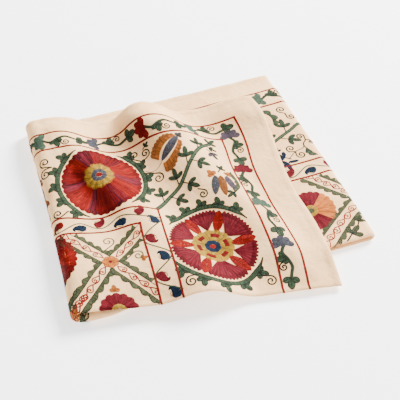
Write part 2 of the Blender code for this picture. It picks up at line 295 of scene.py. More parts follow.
def face_row(u, w, side):
    """The folded places of cloth points u, in one line at distance w, on face 0 or 1."""
    left = left_loop(w)
    right = right_loop(w, left)
    loop, turn = left[side], right[side]
    p_grid, w_grid, along_grid, across_grid = DRAWN_IN
    sin, cos = np.sin(SKEW), np.cos(SKEW)
    d = (loop["u"] - u) * cos
    t = (u - LEFT_FOLD_U) * sin + w * cos
    ones = np.full_like(u, w)
    on_top = d > loop["cloth"]
    # The under face of the top third follows the upper face a little inside it.
    slack, upper_slack = loop["end"] - loop["cloth"], left[0]["end"] - left[0]["cloth"]
    offset = (loop["u"] - left[0]["u"]) * cos + slack - upper_slack
    beside = u - offset / cos
    start = np.full_like(u, loop["u"] - (loop["cloth"] + offset) / cos)
    fold_along = grid_value(along_grid, p_grid, w_grid, start, ones)
    along = grid_value(along_grid, p_grid, w_grid, beside, ones) - fold_along
    along = np.where(on_top, np.maximum(along, 0.0), 0.0)
    fold_across = grid_value(across_grid, p_grid, w_grid, start, ones)
    across = np.where(on_top, grid_value(across_grid, p_grid, w_grid, beside, ones), fold_across)
    around = np.clip(d / loop["cloth"], -1, 1)
    angle = 0.5 * np.pi * around
    n = loop["end"] - loop["radius"] * np.cos(angle)
    n = n + np.maximum(np.abs(d) - loop["cloth"], 0) - along * cos - (across - fold_across) * sin
    t = t + along * sin - across * cos * smooth(0.5 * (around + 1))
    x = LEFT_FOLD_X + t * sin + n * cos
    y = LEFT_FOLD_Y + t * cos - n * sin
    z_mid = middle_upper(x, w) if side else middle_under(x, w)
    z_loop = 0.5 * (loop["high"] + loop["low"]) + 0.5 * (loop["high"] - loop["low"]) * np.sin(angle)
    lift = DOUBLED_GAP if side == 0 else 0.0
    z_top = top_profile(beside, w) - DOUBLED_GAP
    ramp = smooth((y - SUPPORT_RAMP_START) / SUPPORT_RAMP)
    support = middle_upper(x, np.maximum(y - LEFT_FOLD_Y, 0)) * ramp + SUPPORT_CLEARANCE
    z_top = 0.5 * (z_top + support + np.sqrt((z_top - support) ** 2 + SUPPORT_SOFTNESS**2)) + lift
    blend = smooth((d - loop["cloth"]) / LOOP_BLEND)
    z_top = loop["high"] + (z_top - loop["high"]) * np.where(on_top, np.maximum(blend, 0), 0)
    z_low = loop["low"] + (z_mid - loop["low"]) * smooth((-d - loop["cloth"]) / LOOP_BLEND)
    z = np.where(on_top, z_top, np.where(d < -loop["cloth"], z_low, z_loop))
    # Past the right fold the cloth runs back to the left, on the floor.
    e = u - turn["u"]
    past = e > -turn["cloth"]
    around = np.clip(e / turn["cloth"], -1, 1)
    bend = 0.5 * np.pi * around
    x_turn = turn["end"] + turn["radius"] * np.cos(bend) - np.maximum(e - turn["cloth"], 0)
    z_turn = 0.5 * (turn["high"] + turn["low"]) - 0.5 * (turn["high"] - turn["low"]) * np.sin(bend)
    x = np.where(past, x_turn, x)
    z = np.where(past, z_turn, z)
    outward = SKEW * (1 + np.sin(angle)) * np.where(past, 0, 1)
    return np.stack([x, y, z], axis=1), outward


def fold_grid(u, v):
    """The folded place of every point of a flat grid, as an array [u, v, xyz]."""
    grid = np.zeros((len(u), len(v), 3))
    near, outward = face_row(u, EDGE_CLOTH, 0)
    under, _ = face_row(u, EDGE_CLOTH, 1)
    middle, half = 0.5 * (near + under), 0.5 * (near - under)
    bulge = curve(u / CM, EDGE_U, EDGE_BULGE) * CM
    out = np.stack([-np.sin(outward), -np.cos(outward), 0 * outward], axis=1) * bulge[:, None]
    for j, each in enumerate(v):
        if abs(each) < EDGE_CLOTH:
            angle = 0.5 * np.pi * (1 - each / EDGE_CLOTH)
            grid[:, j] = middle + half * np.cos(angle) + out * np.sin(angle)
        else:
            grid[:, j] = face_row(u, abs(each), 0 if each > 0 else 1)[0]
    return grid


def stations(spans):
    """Where the sheet's lines lie, in metres, from rows of start and number of steps."""
    places = []
    for (start, steps), (end, _) in zip(spans, spans[1:]):
        places += [start + (end - start) * i / steps for i in range(steps)]
    return np.array(places + [spans[-1][0]]) * CM


def relief(u, v):
    """Small ups and downs of the flat cloth in millimetres: soft puckers and the doubled hem."""
    u, v = u / CM, v / CM
    edge = np.minimum(np.minimum(u, LENGTH / CM - u), HALF_WIDTH / CM - np.abs(v))
    slow = np.sin(u / 6.1 + 1.7 * np.sin(v / 9.3)) * np.sin(v / 5.3 + 1.1 * np.sin(u / 7.9))
    quick = np.sin(u * 1.9 + 1.3 * np.sin(v / 2.1)) * np.sin(v * 1.6 + 1.2 * np.sin(u / 2.7))
    near_hem = 1 - smooth(edge / 6)
    pucker = 0.28 * slow + (0.10 + 0.16 * near_hem) * quick
    hem_wave = 0.5 * near_hem * np.sin(u * 0.9 + v * 1.1 + np.sin(u / 3.1))
    hem = 0.5 * (1 - smooth((edge - 1.0) / 0.3)) - 0.25 * np.exp(-(((edge - 1.25) / 0.3) ** 2))
    away_from_fold = smooth((np.abs(v) - 0.9) / 3)
    return (pucker + hem_wave) * away_from_fold + hem


class FoldedSheet:
    """The folded cloth on its grid, and the way from the flat cloth to it."""

    def __init__(self, puckers):
        self.u, self.v = stations(GRID_ALONG), stations(GRID_ACROSS)
        self.place = fold_grid(self.u, self.v) - np.array(BASE_CENTRE)
        self.outward = self.directions()
        height = relief(self.u[:, None], self.v[None, :]) * MM * puckers
        self.place = self.place + self.outward * height[..., None]
        self.outward = self.directions()

    def directions(self):
        """The embroidered face's outward direction at each grid point."""
        along = np.gradient(self.place, self.u, axis=0)
        across = np.gradient(self.place, self.v, axis=1)
        out = np.cross(across, along)
        return out / np.linalg.norm(out, axis=2, keepdims=True)

    def lay(self, flat, height):
        """Places on the folds of flat points (complex, in centimetres), height metres outward."""
        u = np.clip(flat.real * CM, 0, LENGTH)
        v = np.clip(flat.imag * CM, -HALF_WIDTH, HALF_WIDTH)
        i = np.clip(np.searchsorted(self.u, u) - 1, 0, len(self.u) - 2)
        j = np.clip(np.searchsorted(self.v, v) - 1, 0, len(self.v) - 2)
        s = ((u - self.u[i]) / (self.u[i + 1] - self.u[i]))[..., None]
        t = ((v - self.v[j]) / (self.v[j + 1] - self.v[j]))[..., None]
        place, outward = (
            (a[i, j] * (1 - s) + a[i + 1, j] * s) * (1 - t)
            + (a[i, j + 1] * (1 - s) + a[i + 1, j + 1] * s) * t
            for a in (self.place, self.outward)
        )
        return place + outward * height[..., None]


# --- materials ------------------------------------------------------------------------------


def linear(colour):
    """An sRGB hex colour as linear red, green and blue."""
    values = [int(colour[i : i + 2], 16) / 255 for i in (1, 3, 5)]
    return tuple(v / 12.92 if v <= 0.04045 else ((v + 0.055) / 1.055) ** 2.4 for v in values)


def add_node(tree, kind, settings=None, values=None, links=None):
    """Add a node with its own settings, the values on its sockets and the links into them."""
    node = tree.nodes.new(kind)
    for name, value in (settings or {}).items():
        setattr(node, name, value)
    for name, value in (values or {}).items():
        node.inputs[name].default_value = value
    for name, source in (links or {}).items():
        tree.links.new(source, node.inputs[name])
    return node


def new_material(name):
    material = bpy.data.materials.new(name)
    material.use_nodes = True
    return material, material.node_tree, material.node_tree.nodes["Principled BSDF"]


# The embroidery threads and the sRGB colour of each.
THREADS = {
    "red": "#600807",
    "orange_red": "#761008",
    "crimson": "#5a0e17",
    "maroon": "#330914",
    "rose": "#5e1620",
    "line_red": "#6a1512",
    "leaf_green": "#303e2b",
    "dark_green": "#171d15",
    "olive": "#3f432c",
    "stem_brown": "#201e15",
    "gold": "#8c6a1c",
    "blue": "#0d1c2c",
    "rust": "#71401a",
    "orange": "#a85c24",
    "grey": "#3c3c42",
    "mauve": "#453a42",
    "pale_green": "#3e5040",
    "cream": "#d2a470",
}
THREAD_INDEX = {name: i for i, name in enumerate(THREADS)}

# Filaments of the thread twist every 0.6 mm; Wave's diagonal bands repeat every 2 pi / 10 scale.
TWIST_SCALE = 2 * np.pi / (10 * 0.6)


def thread_material(name, colour):
    """Loosely twisted silk and cotton embroidery thread: soft lustre, each stitch its own tone."""
    material, tree, shader = new_material("embroidery_thread_" + name)
    strand = add_node(tree, "ShaderNodeAttribute", {"attribute_name": "strand"})
    parts = add_node(tree, "ShaderNodeSeparateXYZ", links={"Vector": strand.outputs["Vector"]})
    ramp = add_node(tree, "ShaderNodeValToRGB", links={"Fac": parts.outputs["Z"]})
    body = np.array(colour)
    ramp.color_ramp.elements[0].color = (*(body * 0.45), 1)
    ramp.color_ramp.elements[1].color = (*np.minimum(body * 1.6 + 0.004, 1), 1)
    middle = ramp.color_ramp.elements.new(0.5)
    middle.color = (*body, 1)
    twist = add_node(
        tree,
        "ShaderNodeTexWave",
        {"wave_type": "BANDS", "bands_direction": "DIAGONAL"},
        {"Scale": TWIST_SCALE, "Distortion": 1.2, "Detail": 1.0},
        {"Vector": strand.outputs["Vector"]},
    )
    bump = add_node(
        tree,
        "ShaderNodeBump",
        values={"Strength": 0.35, "Distance": 0.0003},
        links={"Height": twist.outputs["Fac"]},
    )
    shader.inputs["Roughness"].default_value = 0.6
    shader.inputs["Specular IOR Level"].default_value = 0.05
    tree.links.new(ramp.outputs["Color"], shader.inputs["Base Color"])
    tree.links.new(bump.outputs["Normal"], shader.inputs["Normal"])
    return material


# Handwoven cotton has about 12 threads per cm. Wave's X bands repeat every 2 pi / 20 scale.
WEAVE_PITCH = 0.0009
WEAVE_SCALE = 2 * np.pi / (20 * WEAVE_PITCH)


def cotton_material(light, shade):
    """Handwoven, unbleached cotton: matt and creamy, with slubs, a fine weave and faint old marks."""
    material, tree, shader = new_material("handwoven_cotton")
    flat = add_node(tree, "ShaderNodeUVMap", {"uv_map": "flat"}).outputs["UV"]
    # Slubs 1 to 2 mm wide and some centimetres long, along and across the cloth.
    slubs = []
    for scale in ((25, 520, 1), (520, 25, 1)):
        stretched = add_node(tree, "ShaderNodeMapping", values={"Scale": scale}, links={"Vector": flat})
        slubs.append(
            add_node(
                tree,
                "ShaderNodeTexNoise",
                values={"Scale": 1.0, "Detail": 2.0, "Roughness": 0.55},
                links={"Vector": stretched.outputs["Vector"]},
            ).outputs["Fac"]
        )
    slub = add_node(
        tree, "ShaderNodeMath", {"operation": "ADD"}, links={0: slubs[0], 1: slubs[1]}
    ).outputs[0]
    # Faint marks and yellowing, 5 to 20 cm across.
    age = add_node(
        tree,
        "ShaderNodeTexNoise",
        values={"Scale": 9.0, "Detail": 3.0, "Roughness": 0.6},
        links={"Vector": flat},
    ).outputs["Fac"]
    tone = add_node(
        tree,
        "ShaderNodeMath",
        {"operation": "MULTIPLY_ADD"},
        {1: 0.35},
        {0: slub, 2: age},
    ).outputs[0]
    ramp = add_node(tree, "ShaderNodeValToRGB", links={"Fac": tone})
    ramp.color_ramp.elements[0].position = 0.55
    ramp.color_ramp.elements[0].color = (*shade, 1)
    ramp.color_ramp.elements[1].position = 0.95
    ramp.color_ramp.elements[1].color = (*light, 1)
    # Plain weave, drawn at 0.9 mm where the real threads are about 0.8 mm.
    weave = []
    for direction in ("X", "Y"):
        weave.append(
            add_node(
                tree,
                "ShaderNodeTexWave",
                {"wave_type": "BANDS", "bands_direction": direction},
                {"Scale": WEAVE_SCALE, "Distortion": 0.8, "Detail": 1.0, "Detail Scale": 0.3},
                {"Vector": flat},
            ).outputs["Fac"]
        )
    cross = add_node(
        tree, "ShaderNodeMath", {"operation": "MULTIPLY"}, links={0: weave[0], 1: weave[1]}
    ).outputs[0]
    crumple = add_node(
        tree,
        "ShaderNodeTexNoise",
        values={"Scale": 55.0, "Detail": 4.0, "Roughness": 0.55, "Distortion": 0.4},
        links={"Vector": flat},
    ).outputs["Fac"]
    soft = add_node(
        tree, "ShaderNodeBump", values={"Strength": 0.7, "Distance": 0.003}, links={"Height": crumple}
    )
    rough = add_node(
        tree,
        "ShaderNodeBump",
        values={"Strength": 0.4, "Distance": 0.0005},
        links={"Height": slub, "Normal": soft.outputs["Normal"]},
    )
    fine = add_node(
        tree,
        "ShaderNodeBump",
        values={"Strength": 0.5, "Distance": 0.00025},
        links={"Height": cross, "Normal": rough.outputs["Normal"]},
    )
    shader.inputs["Roughness"].default_value = 0.92
    shader.inputs["Specular IOR Level"].default_value = 0.1
    tree.links.new(ramp.outputs["Color"], shader.inputs["Base Color"])
    tree.links.new(fine.outputs["Normal"], shader.inputs["Normal"])
    return material


def backdrop_material(colour):
    """Matt studio paper, a little translucent over a light: so pale that only a soft contact shadow shows."""
    material, tree, shader = new_material("matt_studio_paper")
    grain = add_node(tree, "ShaderNodeTexNoise", values={"Scale": 900.0, "Detail": 2.0})
    bump = add_node(
        tree,
        "ShaderNodeBump",
        values={"Strength": 0.05, "Distance": 0.0002},
        links={"Height": grain.outputs["Fac"]},
    )
    shader.inputs["Base Color"].default_value = (*colour, 1)
    shader.inputs["Roughness"].default_value = 0.95
    shader.inputs["Specular IOR Level"].default_value = 0.1
    shader.inputs["Emission Color"].default_value = (1, 1, 1, 1)
    shader.inputs["Emission Strength"].default_value = 1.5
    tree.links.new(bump.outputs["Normal"], shader.inputs["Normal"])
    return material


# --- stitches -------------------------------------------------------------------------------

# A stitch's rounded form: distances along it, with its width and height there.
STITCH_ALONG = np.array((0.0, 0.14, 0.5, 0.86, 1.0))
STITCH_WIDTH = np.array((0.65, 1.0, 1.0, 1.0, 0.65))
STITCH_HEIGHT = np.array((0.3, 0.85, 1.0, 0.85, 0.3))
STITCH_SUNK = 0.00005


def ray(degrees):
    return np.exp(1j * np.radians(degrees))


def through(points, closed=False, steps=12):
    """A smooth line through a few points."""
    p = np.asarray(points, complex)
    if closed:
        p = np.concatenate([p[-1:], p, p[:2]])
    else:
        p = np.concatenate([2 * p[:1] - p[1:2], p, 2 * p[-1:] - p[-2:-1]])
    t = np.linspace(0, 1, steps, endpoint=False)[:, None]
    a, b, c, d = p[:-3], p[1:-2], p[2:-1], p[3:]
    line = 0.5 * (2 * b + (c - a) * t + (2 * a - 5 * b + 4 * c - d) * t**2 + (3 * b - a - 3 * c + d) * t**3)
    return np.append(line.T.reshape(-1), p[-2])


def distance_along(line):
    return np.concatenate([[0.0], np.cumsum(np.abs(np.diff(line)))])


def even(line, count):
    """Points at even distances along a line."""
    at = distance_along(line)
    where = np.linspace(0, at[-1], count)
    return np.interp(where, at, line.real) + 1j * np.interp(where, at, line.imag)


def beside(line, offset):
    """A line that runs beside another, to its left where offset is positive."""
    way = np.gradient(line)
    return line + 1j * way / np.abs(way) * offset


class Place:
    """Where a motif is worked: its middle on the flat cloth, and its turn and size as seen from above."""

    def __init__(self, u, v, turn=0.0, size=1.0, mirrored=False, tall=1.0):
        self.middle = complex(u, v)
        self.side = 1 if v > -0.9 else -1
        self.turn = size * ray(turn)
        self.mirrored = mirrored
        self.tall = tall

    def __call__(self, points):
        points = np.asarray(points, complex)
        if self.mirrored:
            points = np.conj(points)
        points = points * self.turn
        points = points.real + 1j * self.tall * points.imag
        return self.middle - self.side * np.conj(points)


def pointing(root, tip):
    """The place at root, on the flat cloth, whose +x points at tip."""
    place = Place(root.real, root.imag)
    place.turn = -place.side * np.conj(tip - root) / abs(tip - root)
    return place


class Needlework:
    """The stitches of one piece, drawn on the flat cloth and then laid on its folds."""

    def __init__(self, seed, height):
        self.random = np.random.default_rng(seed)
        self.height = height
        self.rows = []
        self.field_only = False
        self.longest = 1.5

    def stitches(self, start, end, width, end_width, colour, tone=0.5, lift=1.0, vary=0.2):
        count = len(start)
        own_tone = np.clip(tone + vary * self.random.standard_normal(count), 0.02, 0.98)
        row = np.zeros((count, 8), complex)
        values = (start, end, width, end_width, colour, own_tone, lift, self.random.uniform(0, 5, count))
        for column, value in enumerate(values):
            row[:, column] = value
        self.rows.append(row)

    def line(self, points, thread, width=0.17, link=0.3, tone=0.5, lift=1.5):
        """Chain stitch along a line, its links overlapping a little."""
        points = np.asarray(points, complex)
        count = max(2, round(distance_along(points)[-1] / link) + 1)
        p = even(points, count)
        overlap = 0.25 * np.diff(p)
        self.stitches(p[:-1] - overlap, p[1:] + overlap, width, width, THREAD_INDEX[thread], tone, lift, 0.08)

    def satin(self, left, right, thread, pitch=0.12, tone=0.5, lift=1.0):
        """Stitches side by side from one edge to another, in rows where they would be too long.

        thread is a name, or gives an array of indices from the distances 0 to 1 along the edges."""
        length = 0.5 * (distance_along(left)[-1] + distance_along(right)[-1])
        count = max(2, round(length / pitch))
        a, b = even(left, count + 1), even(right, count + 1)
        width_a, width_b = np.abs(np.diff(a)) * 1.2 + 0.02, np.abs(np.diff(b)) * 1.2 + 0.02
        a, b = 0.5 * (a[1:] + a[:-1]), 0.5 * (b[1:] + b[:-1])
        t = (np.arange(count) + 0.5) / count
        colour = thread(t) if callable(thread) else THREAD_INDEX[thread]
        tone = tone(t) if callable(tone) else tone
        rows = int(np.ceil(np.abs(b - a).max() / self.longest))
        step = np.linspace(0, 1, rows + 1)[:, None] * np.ones(count)
        step[1:-1] += self.random.uniform(-0.3, 0.3, (rows - 1, count)) / rows
        for first, last in zip(step[:-1], step[1:]):
            first = np.maximum(first - 0.11 / rows, 0)
            last = np.minimum(last + 0.11 / rows, 1)
            ends = a + (b - a) * first, a + (b - a) * last
            widths = width_a + (width_b - width_a) * first, width_a + (width_b - width_a) * last
            self.stitches(*ends, *widths, colour, tone, lift)

    def mesh(self, name, sheet, materials):
        """All the stitches as one object on the folded sheet."""
        rows = np.concatenate(self.rows)
        start, end = rows[:, 0], rows[:, 1]
        width, end_width, colour, tone, lift, phase = (rows[:, i].real for i in range(2, 8))
        length = np.abs(end - start)
        u, v = start.real, start.imag
        hidden = ((u < TOP_END) & (v < -PAST_FOLD)) | ((u > MIDDLE_START) & (v > PAST_FOLD))
        hidden |= (u > TOP_END) & (u < MIDDLE_START)
        good = (length > SHORTEST) & (~hidden | (np.abs(v) < PAST_FOLD))
        if self.field_only:
            end_v = np.maximum(np.abs(v), np.abs(end.imag))
            near_u, far_u = np.minimum(u, end.real), np.maximum(u, end.real)
            good &= (end_v < FIELD_ACROSS[1] - 0.1) & (near_u > FIELD_ALONG[1] + 0.1)
            good &= far_u < FAR - FIELD_ALONG[1]
        start, end, width, end_width, colour, tone, lift, phase, length = (
            each[good] for each in (start, end, width, end_width, colour, tone, lift, phase, length)
        )
        way = (end - start) / length
        count = len(start)
        along = STITCH_ALONG[None, :, None]
        across = np.array((-0.5, 0.0, 0.5))[None, None, :]
        breadth = (width[:, None] + (end_width - width)[:, None] * STITCH_ALONG) * STITCH_WIDTH
        flat = start[:, None, None] + (end - start)[:, None, None] * along
        flat = flat + 1j * way[:, None, None] * breadth[:, :, None] * across
        rise = STITCH_HEIGHT[None, :, None] * (1 - 4 * across**2) * lift[:, None, None] * self.height
        height = 0.5 * THICKNESS - STITCH_SUNK + rise
        places = sheet.lay(flat, height).reshape(-1, 3)
        # What the cloth lies on presses the stitches under it flat.
        places[:, 2] = np.maximum(places[:, 2], FLOOR_Z * 0.3)

        strand = np.zeros((count, 5, 3, 3), np.float32)
        strand[..., 0] = breadth[:, :, None] * across * 10
        strand[..., 1] = (length[:, None] * STITCH_ALONG)[:, :, None] * 10 + phase[:, None, None]
        strand[..., 2] = tone[:, None, None]

        first = np.arange(5 * 3).reshape(5, 3)
        quads = grid_quads(first)
        faces = (np.arange(count)[:, None, None] * 15 + quads[None]).reshape(-1, 4)
        used = np.unique(colour.astype(int))
        slot_of = {index: i for i, index in enumerate(used)}
        slots = np.repeat([slot_of[int(c)] for c in colour], len(quads))
        piece = mesh_piece(name, places, faces)
        piece.data.polygons.foreach_set("material_index", slots.astype(np.int32))
        attribute = piece.data.attributes.new("strand", "FLOAT_VECTOR", "POINT")
        attribute.data.foreach_set("vector", strand.reshape(-1))
        names = list(THREADS)
        for index in used:
            piece.data.materials.append(materials[names[index]])
        return piece


def grid_quads(first):
    """The four-sided faces of a grid of point numbers."""
    return np.stack([first[:-1, :-1], first[:-1, 1:], first[1:, 1:], first[1:, :-1]], axis=-1).reshape(-1, 4)


def mesh_piece(name, places, faces):
    """A new smooth object from arrays of places and four-sided faces."""
    mesh = bpy.data.meshes.new(name)
    mesh.vertices.add(len(places))
    mesh.vertices.foreach_set("co", np.asarray(places, np.float32).reshape(-1))
    mesh.loops.add(faces.size)
    mesh.loops.foreach_set("vertex_index", faces.reshape(-1).astype(np.int32))
    mesh.polygons.add(len(faces))
    mesh.polygons.foreach_set("loop_start", np.arange(0, faces.size, 4, dtype=np.int32))
    mesh.polygons.foreach_set("use_smooth", np.ones(len(faces), bool))
    mesh.update(calc_edges=True)
    mesh.validate()
    piece = bpy.data.objects.new(name, mesh)
    bpy.context.scene.collection.objects.link(piece)
    return piece


# --- motifs ---------------------------------------------------------------------------------


def leaf(work, place, length, width, thread="leaf_green", edge="dark_green", tip=0.8, outline=0.17):
    """A leaf along +x: slanted satin on each side of a vein, inside an outline."""
    t = np.linspace(0, 1, 17)
    half = 0.5 * width * np.sin(np.pi * t**tip) ** 0.6
    vein = place(length * t * 0.92)
    for sign in (1, -1):
        rim = place(length * (t + 0.05 * np.sin(np.pi * t)) + 1j * sign * half)
        work.satin(vein, rim, thread, 0.12, tone=0.56 if sign > 0 else 0.44, lift=0.8)
        work.line(rim, edge, outline, 0.24, lift=1.2)
    work.line(vein, edge, 0.09, 0.3, lift=1.1)


def trefoil(work, place, size=1.0, thread="leaf_green", edge="dark_green", stalk=0.0, spread=62, plump=1.0):
    """A three-lobed leaf along +x, on a short stalk."""
    if stalk:
        work.line(place(np.linspace(-stalk, 0.35 * size, 8)), edge, 0.26, 0.25)
    for turn, reach, breadth in ((spread, 1.1, 0.8), (-spread, 1.1, 0.8), (0, 1.5, 0.85)):
        lobe = place_within(place, 0.1 * size, turn)
        leaf(work, lobe, reach * size, breadth * plump * size, thread, edge, 1.1)


def place_within(place, at, turn=0.0):
    """A part of a motif: its own place inside the motif's place."""
    return lambda points: place(at + np.asarray(points, complex) * ray(turn))


def coil(start, middle, radius, hand, turns=1.4):
    """A stalk from start that runs into an open spiral around middle. hand is 1 or -1."""
    gap = start - middle
    lean = np.arccos(np.clip(radius / max(abs(gap), radius * 1.001), -1, 1))
    t = np.linspace(0, 1, 40)
    turned = np.angle(gap) + hand * lean + hand * t * turns * 2 * np.pi
    spiral = middle + radius * (1 - 0.84 * t) * np.exp(1j * turned)
    stalk = start + (spiral[0] - start) * np.linspace(0, 1, 8, endpoint=False)
    return np.concatenate([stalk, spiral])


def leafy_band(work, path, width, lobe, lobes, thread, edge, taper=0.12, pitch=0.12, lean=0.75):
    """A band of satin along the left of a path, its outer edge lobed like a serrated leaf."""
    path = even(path, max(24, int(distance_along(path)[-1] / 0.12)))
    t = np.linspace(0, 1, len(path))
    wave = np.sin(np.pi * ((t * lobes) % 1.0) ** lean)
    ends = smooth(t / taper) * smooth((1 - t) / taper) if taper else np.ones_like(t)
    outer = beside(path, 1.0) - path
    outer = path + outer * (width + lobe * wave) * (0.12 + 0.88 * ends)
    shade = lambda s: 0.38 + 0.2 * np.sin(np.pi * ((s * lobes) % 1.0))
    work.satin(path, outer, thread, pitch, shade, lift=0.85)
    work.line(path, edge, 0.14, 0.25, lift=1.1)
    work.line(outer, edge, 0.14, 0.22, lift=1.1)


def ring(work, place, inner, outer, thread, tone=0.5, pitch=0.12, scallops=0, scallop=0.0, lift=1.0):
    """Radial satin between two circles, the outer one scalloped."""
    t = np.linspace(0, 360, 241)
    rim = outer + scallop * np.abs(np.sin(np.radians(t) * scallops * 0.5))
    work.satin(place(inner * ray(t)), place(rim * ray(t)), thread, pitch, tone, lift)


def spot(work, place, radius, thread, tone=0.5):
    """A round spot of straight satin."""
    t = np.linspace(0.04, 0.96, 12)
    half = radius * np.sin(np.pi * t)
    x = radius * np.cos(np.pi * t)
    work.satin(place(x + 1j * half), place(x - 1j * half), thread, 0.1, tone)


def sectors(table):
    """A thread for each distance 0 to 1, from rows of where a sector ends and its thread."""
    ends = np.array([end for end, _ in table])
    threads = np.array([THREAD_INDEX[name] for _, name in table])
    mixed = lambda t: t + 0.01 * np.sin(1931 * t) + 0.006 * np.sin(613 * t)
    return lambda t: threads[np.clip(np.searchsorted(ends, mixed(t)), 0, len(ends) - 1)]


# Round poppy: its sectors anticlockwise from the right, as seen from above.
POPPY = (
    (0.025, "rose"),
    (0.15, "orange_red"),
    (0.165, "maroon"),
    (0.19, "red"),
    (0.20, "maroon"),
    (0.30, "red"),
    (0.315, "maroon"),
    (0.345, "rose"),
    (0.36, "maroon"),
    (0.42, "orange_red"),
    (0.50, "red"),
    (0.512, "maroon"),
    (0.54, "rose"),
    (0.56, "red"),
    (0.67, "orange_red"),
    (0.688, "rose"),
    (0.70, "maroon"),
    (0.80, "red"),
    (0.812, "maroon"),
    (0.835, "rose"),
    (0.86, "red"),
    (0.965, "orange_red"),
    (1.0, "rose"),
)


def poppy(work, place, table=POPPY):
    """A round poppy of radial threads: red petals, a gold ring, a grey ring and a red eye."""
    wobble = lambda t: 0.5 + 0.12 * np.sin(t * 97) + 0.08 * np.sin(t * 231)
    turns = ray(np.linspace(0, 360, 241))
    edge = 6.95 + 0.12 * np.abs(np.sin(np.linspace(0, 38, 241) * np.pi))
    inner = -0.4 + 0.55j + 2.4 * turns
    work.satin(place(inner), place(edge * turns), sectors(table), 0.11, wobble)
    rim = lambda t: 0.3 + 0.1 * np.sin(t * 97)
    ring(work, place, 6.6, 7.35, sectors(table), rim, 0.12, 38, 0.32, lift=1.15)
    centre = place_within(place, -0.4 + 0.55j)
    ring(work, centre, 1.35, 2.7, "gold", lambda t: 0.55 + 0.2 * np.sin(t * 70), 0.12, 11, 0.35, lift=1.1)
    work.line(centre(2.1 * ray(np.linspace(0, 360, 60))), "olive", 0.08, 0.24, 0.7, 1.2)
    ring(work, centre, 0.55, 1.35, "grey", lambda t: 0.45 + 0.2 * np.sin(t * 50), 0.11, 7, 0.2, lift=1.1)
    spot(work, centre, 0.55, "red")


STAR_PETALS = (3, 65, 115, 178, 242, 312)


def star_rosette(work, place):
    """Crimson fans between pointed orange petals, on a gold ring around a blue flower."""
    turns = STAR_PETALS + (STAR_PETALS[0] + 360,)
    for this, following in zip(turns, turns[1:]):
        inner = np.linspace(this + 24, following - 24, 60)
        outer = np.linspace(this + 5, following - 5, 60)
        folds = round((following - this) / 6.5)
        edge = np.abs(np.sin(np.linspace(0, 1, 60) * folds * np.pi))
        streak = lambda t, folds=folds: 0.36 + 0.34 * np.abs(np.sin(t * folds * np.pi))
        rose = lambda t, folds=folds: np.where(
            np.abs(np.sin(t * folds * np.pi)) > 0.9, THREAD_INDEX["rose"], THREAD_INDEX["crimson"]
        )
        rim = (6.75 + 0.15 * edge) * ray(outer)
        work.satin(place(3.55 * ray(inner)), place(rim), rose, 0.11, streak)
        tips = lambda t, folds=folds: 0.22 + 0.3 * np.abs(np.sin(t * folds * np.pi))
        rim = (7.25 + 0.5 * edge) * ray(outer)
        work.satin(place(6.5 * ray(outer)), place(rim), "crimson", 0.12, tips, 1.12)
    for turn in STAR_PETALS:
        leaf(work, place_within(place, 3.3 * ray(turn), turn), 4.3, 1.75, "orange_red", "red", 0.95, 0.12)
    ring(work, place, 2.8, 3.45, "gold", 0.6, 0.12, 14, 0.3)
    red, gold = THREAD_INDEX["red"], THREAD_INDEX["gold"]
    patches = lambda t: np.where(np.sin(t * 12 * np.pi + 0.6) > -0.2, red, gold)
    ring(work, place, 2.05, 2.95, patches, 0.5, 0.12)
    ring(work, place, 1.35, 2.15, "gold", lambda t: 0.45 + 0.25 * np.sin(t * 38), 0.12)
    for turn in range(0, 360, 30):
        work.line(place(np.linspace(1.5, 3.3, 6) * ray(turn + 8)), "olive", 0.09, 0.25, lift=1.15)
    ring(work, place, 0.5, 1.3, "blue", 0.5, 0.11, 8, 0.25)
    spot(work, place, 0.52, "orange_red")
    spot(work, place, 0.2, "dark_green")


def wreath(work, place, radius, start, end, leaves):
    """A green stem that arches around a rosette, with three-lobed leaves on its outside."""
    turn = np.linspace(start, end, 60)
    path = radius * ray(turn)
    t = np.linspace(0, 1, 60)
    half = 0.34 * smooth(t / 0.16) * smooth((1 - t) / 0.16) + 0.05
    outer, inner = beside(path, half), beside(path, -half)
    work.satin(place(outer), place(inner), "leaf_green", 0.12, 0.45, 0.85)
    for line in (outer, inner):
        work.line(place(line), "dark_green", 0.17, 0.25, 0.45, 1.2)
    for k in range(leaves):
        at = start + (end - start) * (k + 0.75) / (leaves + 0.5)
        trefoil(work, place_within(place, (radius + 0.25) * ray(at), at + 24), 1.1, spread=72)


def fan_blossom(work, place, thread, petals=5, radius=2.0, spread=150):
    """A fan of round petals that opens towards +x, over a small cup."""
    for k in range(petals):
        turn = spread * (k / (petals - 1) - 0.5)
        petal = place_within(place, -0.35 + 0.1 * radius * ray(turn), turn)
        leaf(work, petal, radius, 0.62 * radius, thread, thread, 1.5, 0.12)
    cup = np.linspace(-1, 1, 5)
    work.satin(place(-0.8 + 0.3j * cup), place(0.15 + 0.6j * cup), thread, 0.12, 0.25, 1.2)


# A vine unit's leaves: where each grows, its turn and its size.
VINE_LEAVES = ((2.7 - 0.1j, -74, 1.2), (6.5 - 0.2j, -8, 1.4))


def vine_unit(work, place, blossom, length=9.9, petals=5, breadth=1.9):
    """One blossom of the vine, then its stem along +x with two leaves and a spiral."""
    fan_blossom(work, place_within(place, 0.15, 180), blossom, petals, breadth, 170)
    reach = length / 9.9
    stem = through(np.array((0.7, 1.9 - 0.55j, 3.2 + 0.1j, 4.6 + 0.5j, 5.8 + 0.1j, 6.9 - 0.25j)) * reach)
    for offset, tone in ((0.14, 0.35), (-0.14, 0.05)):
        work.line(place(beside(stem, offset)), "leaf_green", 0.32, 0.26, tone)
    for at, turn, size in VINE_LEAVES:
        trefoil(work, place_within(place, at * reach, turn), size)
    work.line(place(coil((3.1 + 0.1j) * reach, (4.5 - 0.95j) * reach, 0.75, 1)), "stem_brown", 0.28, 0.22)


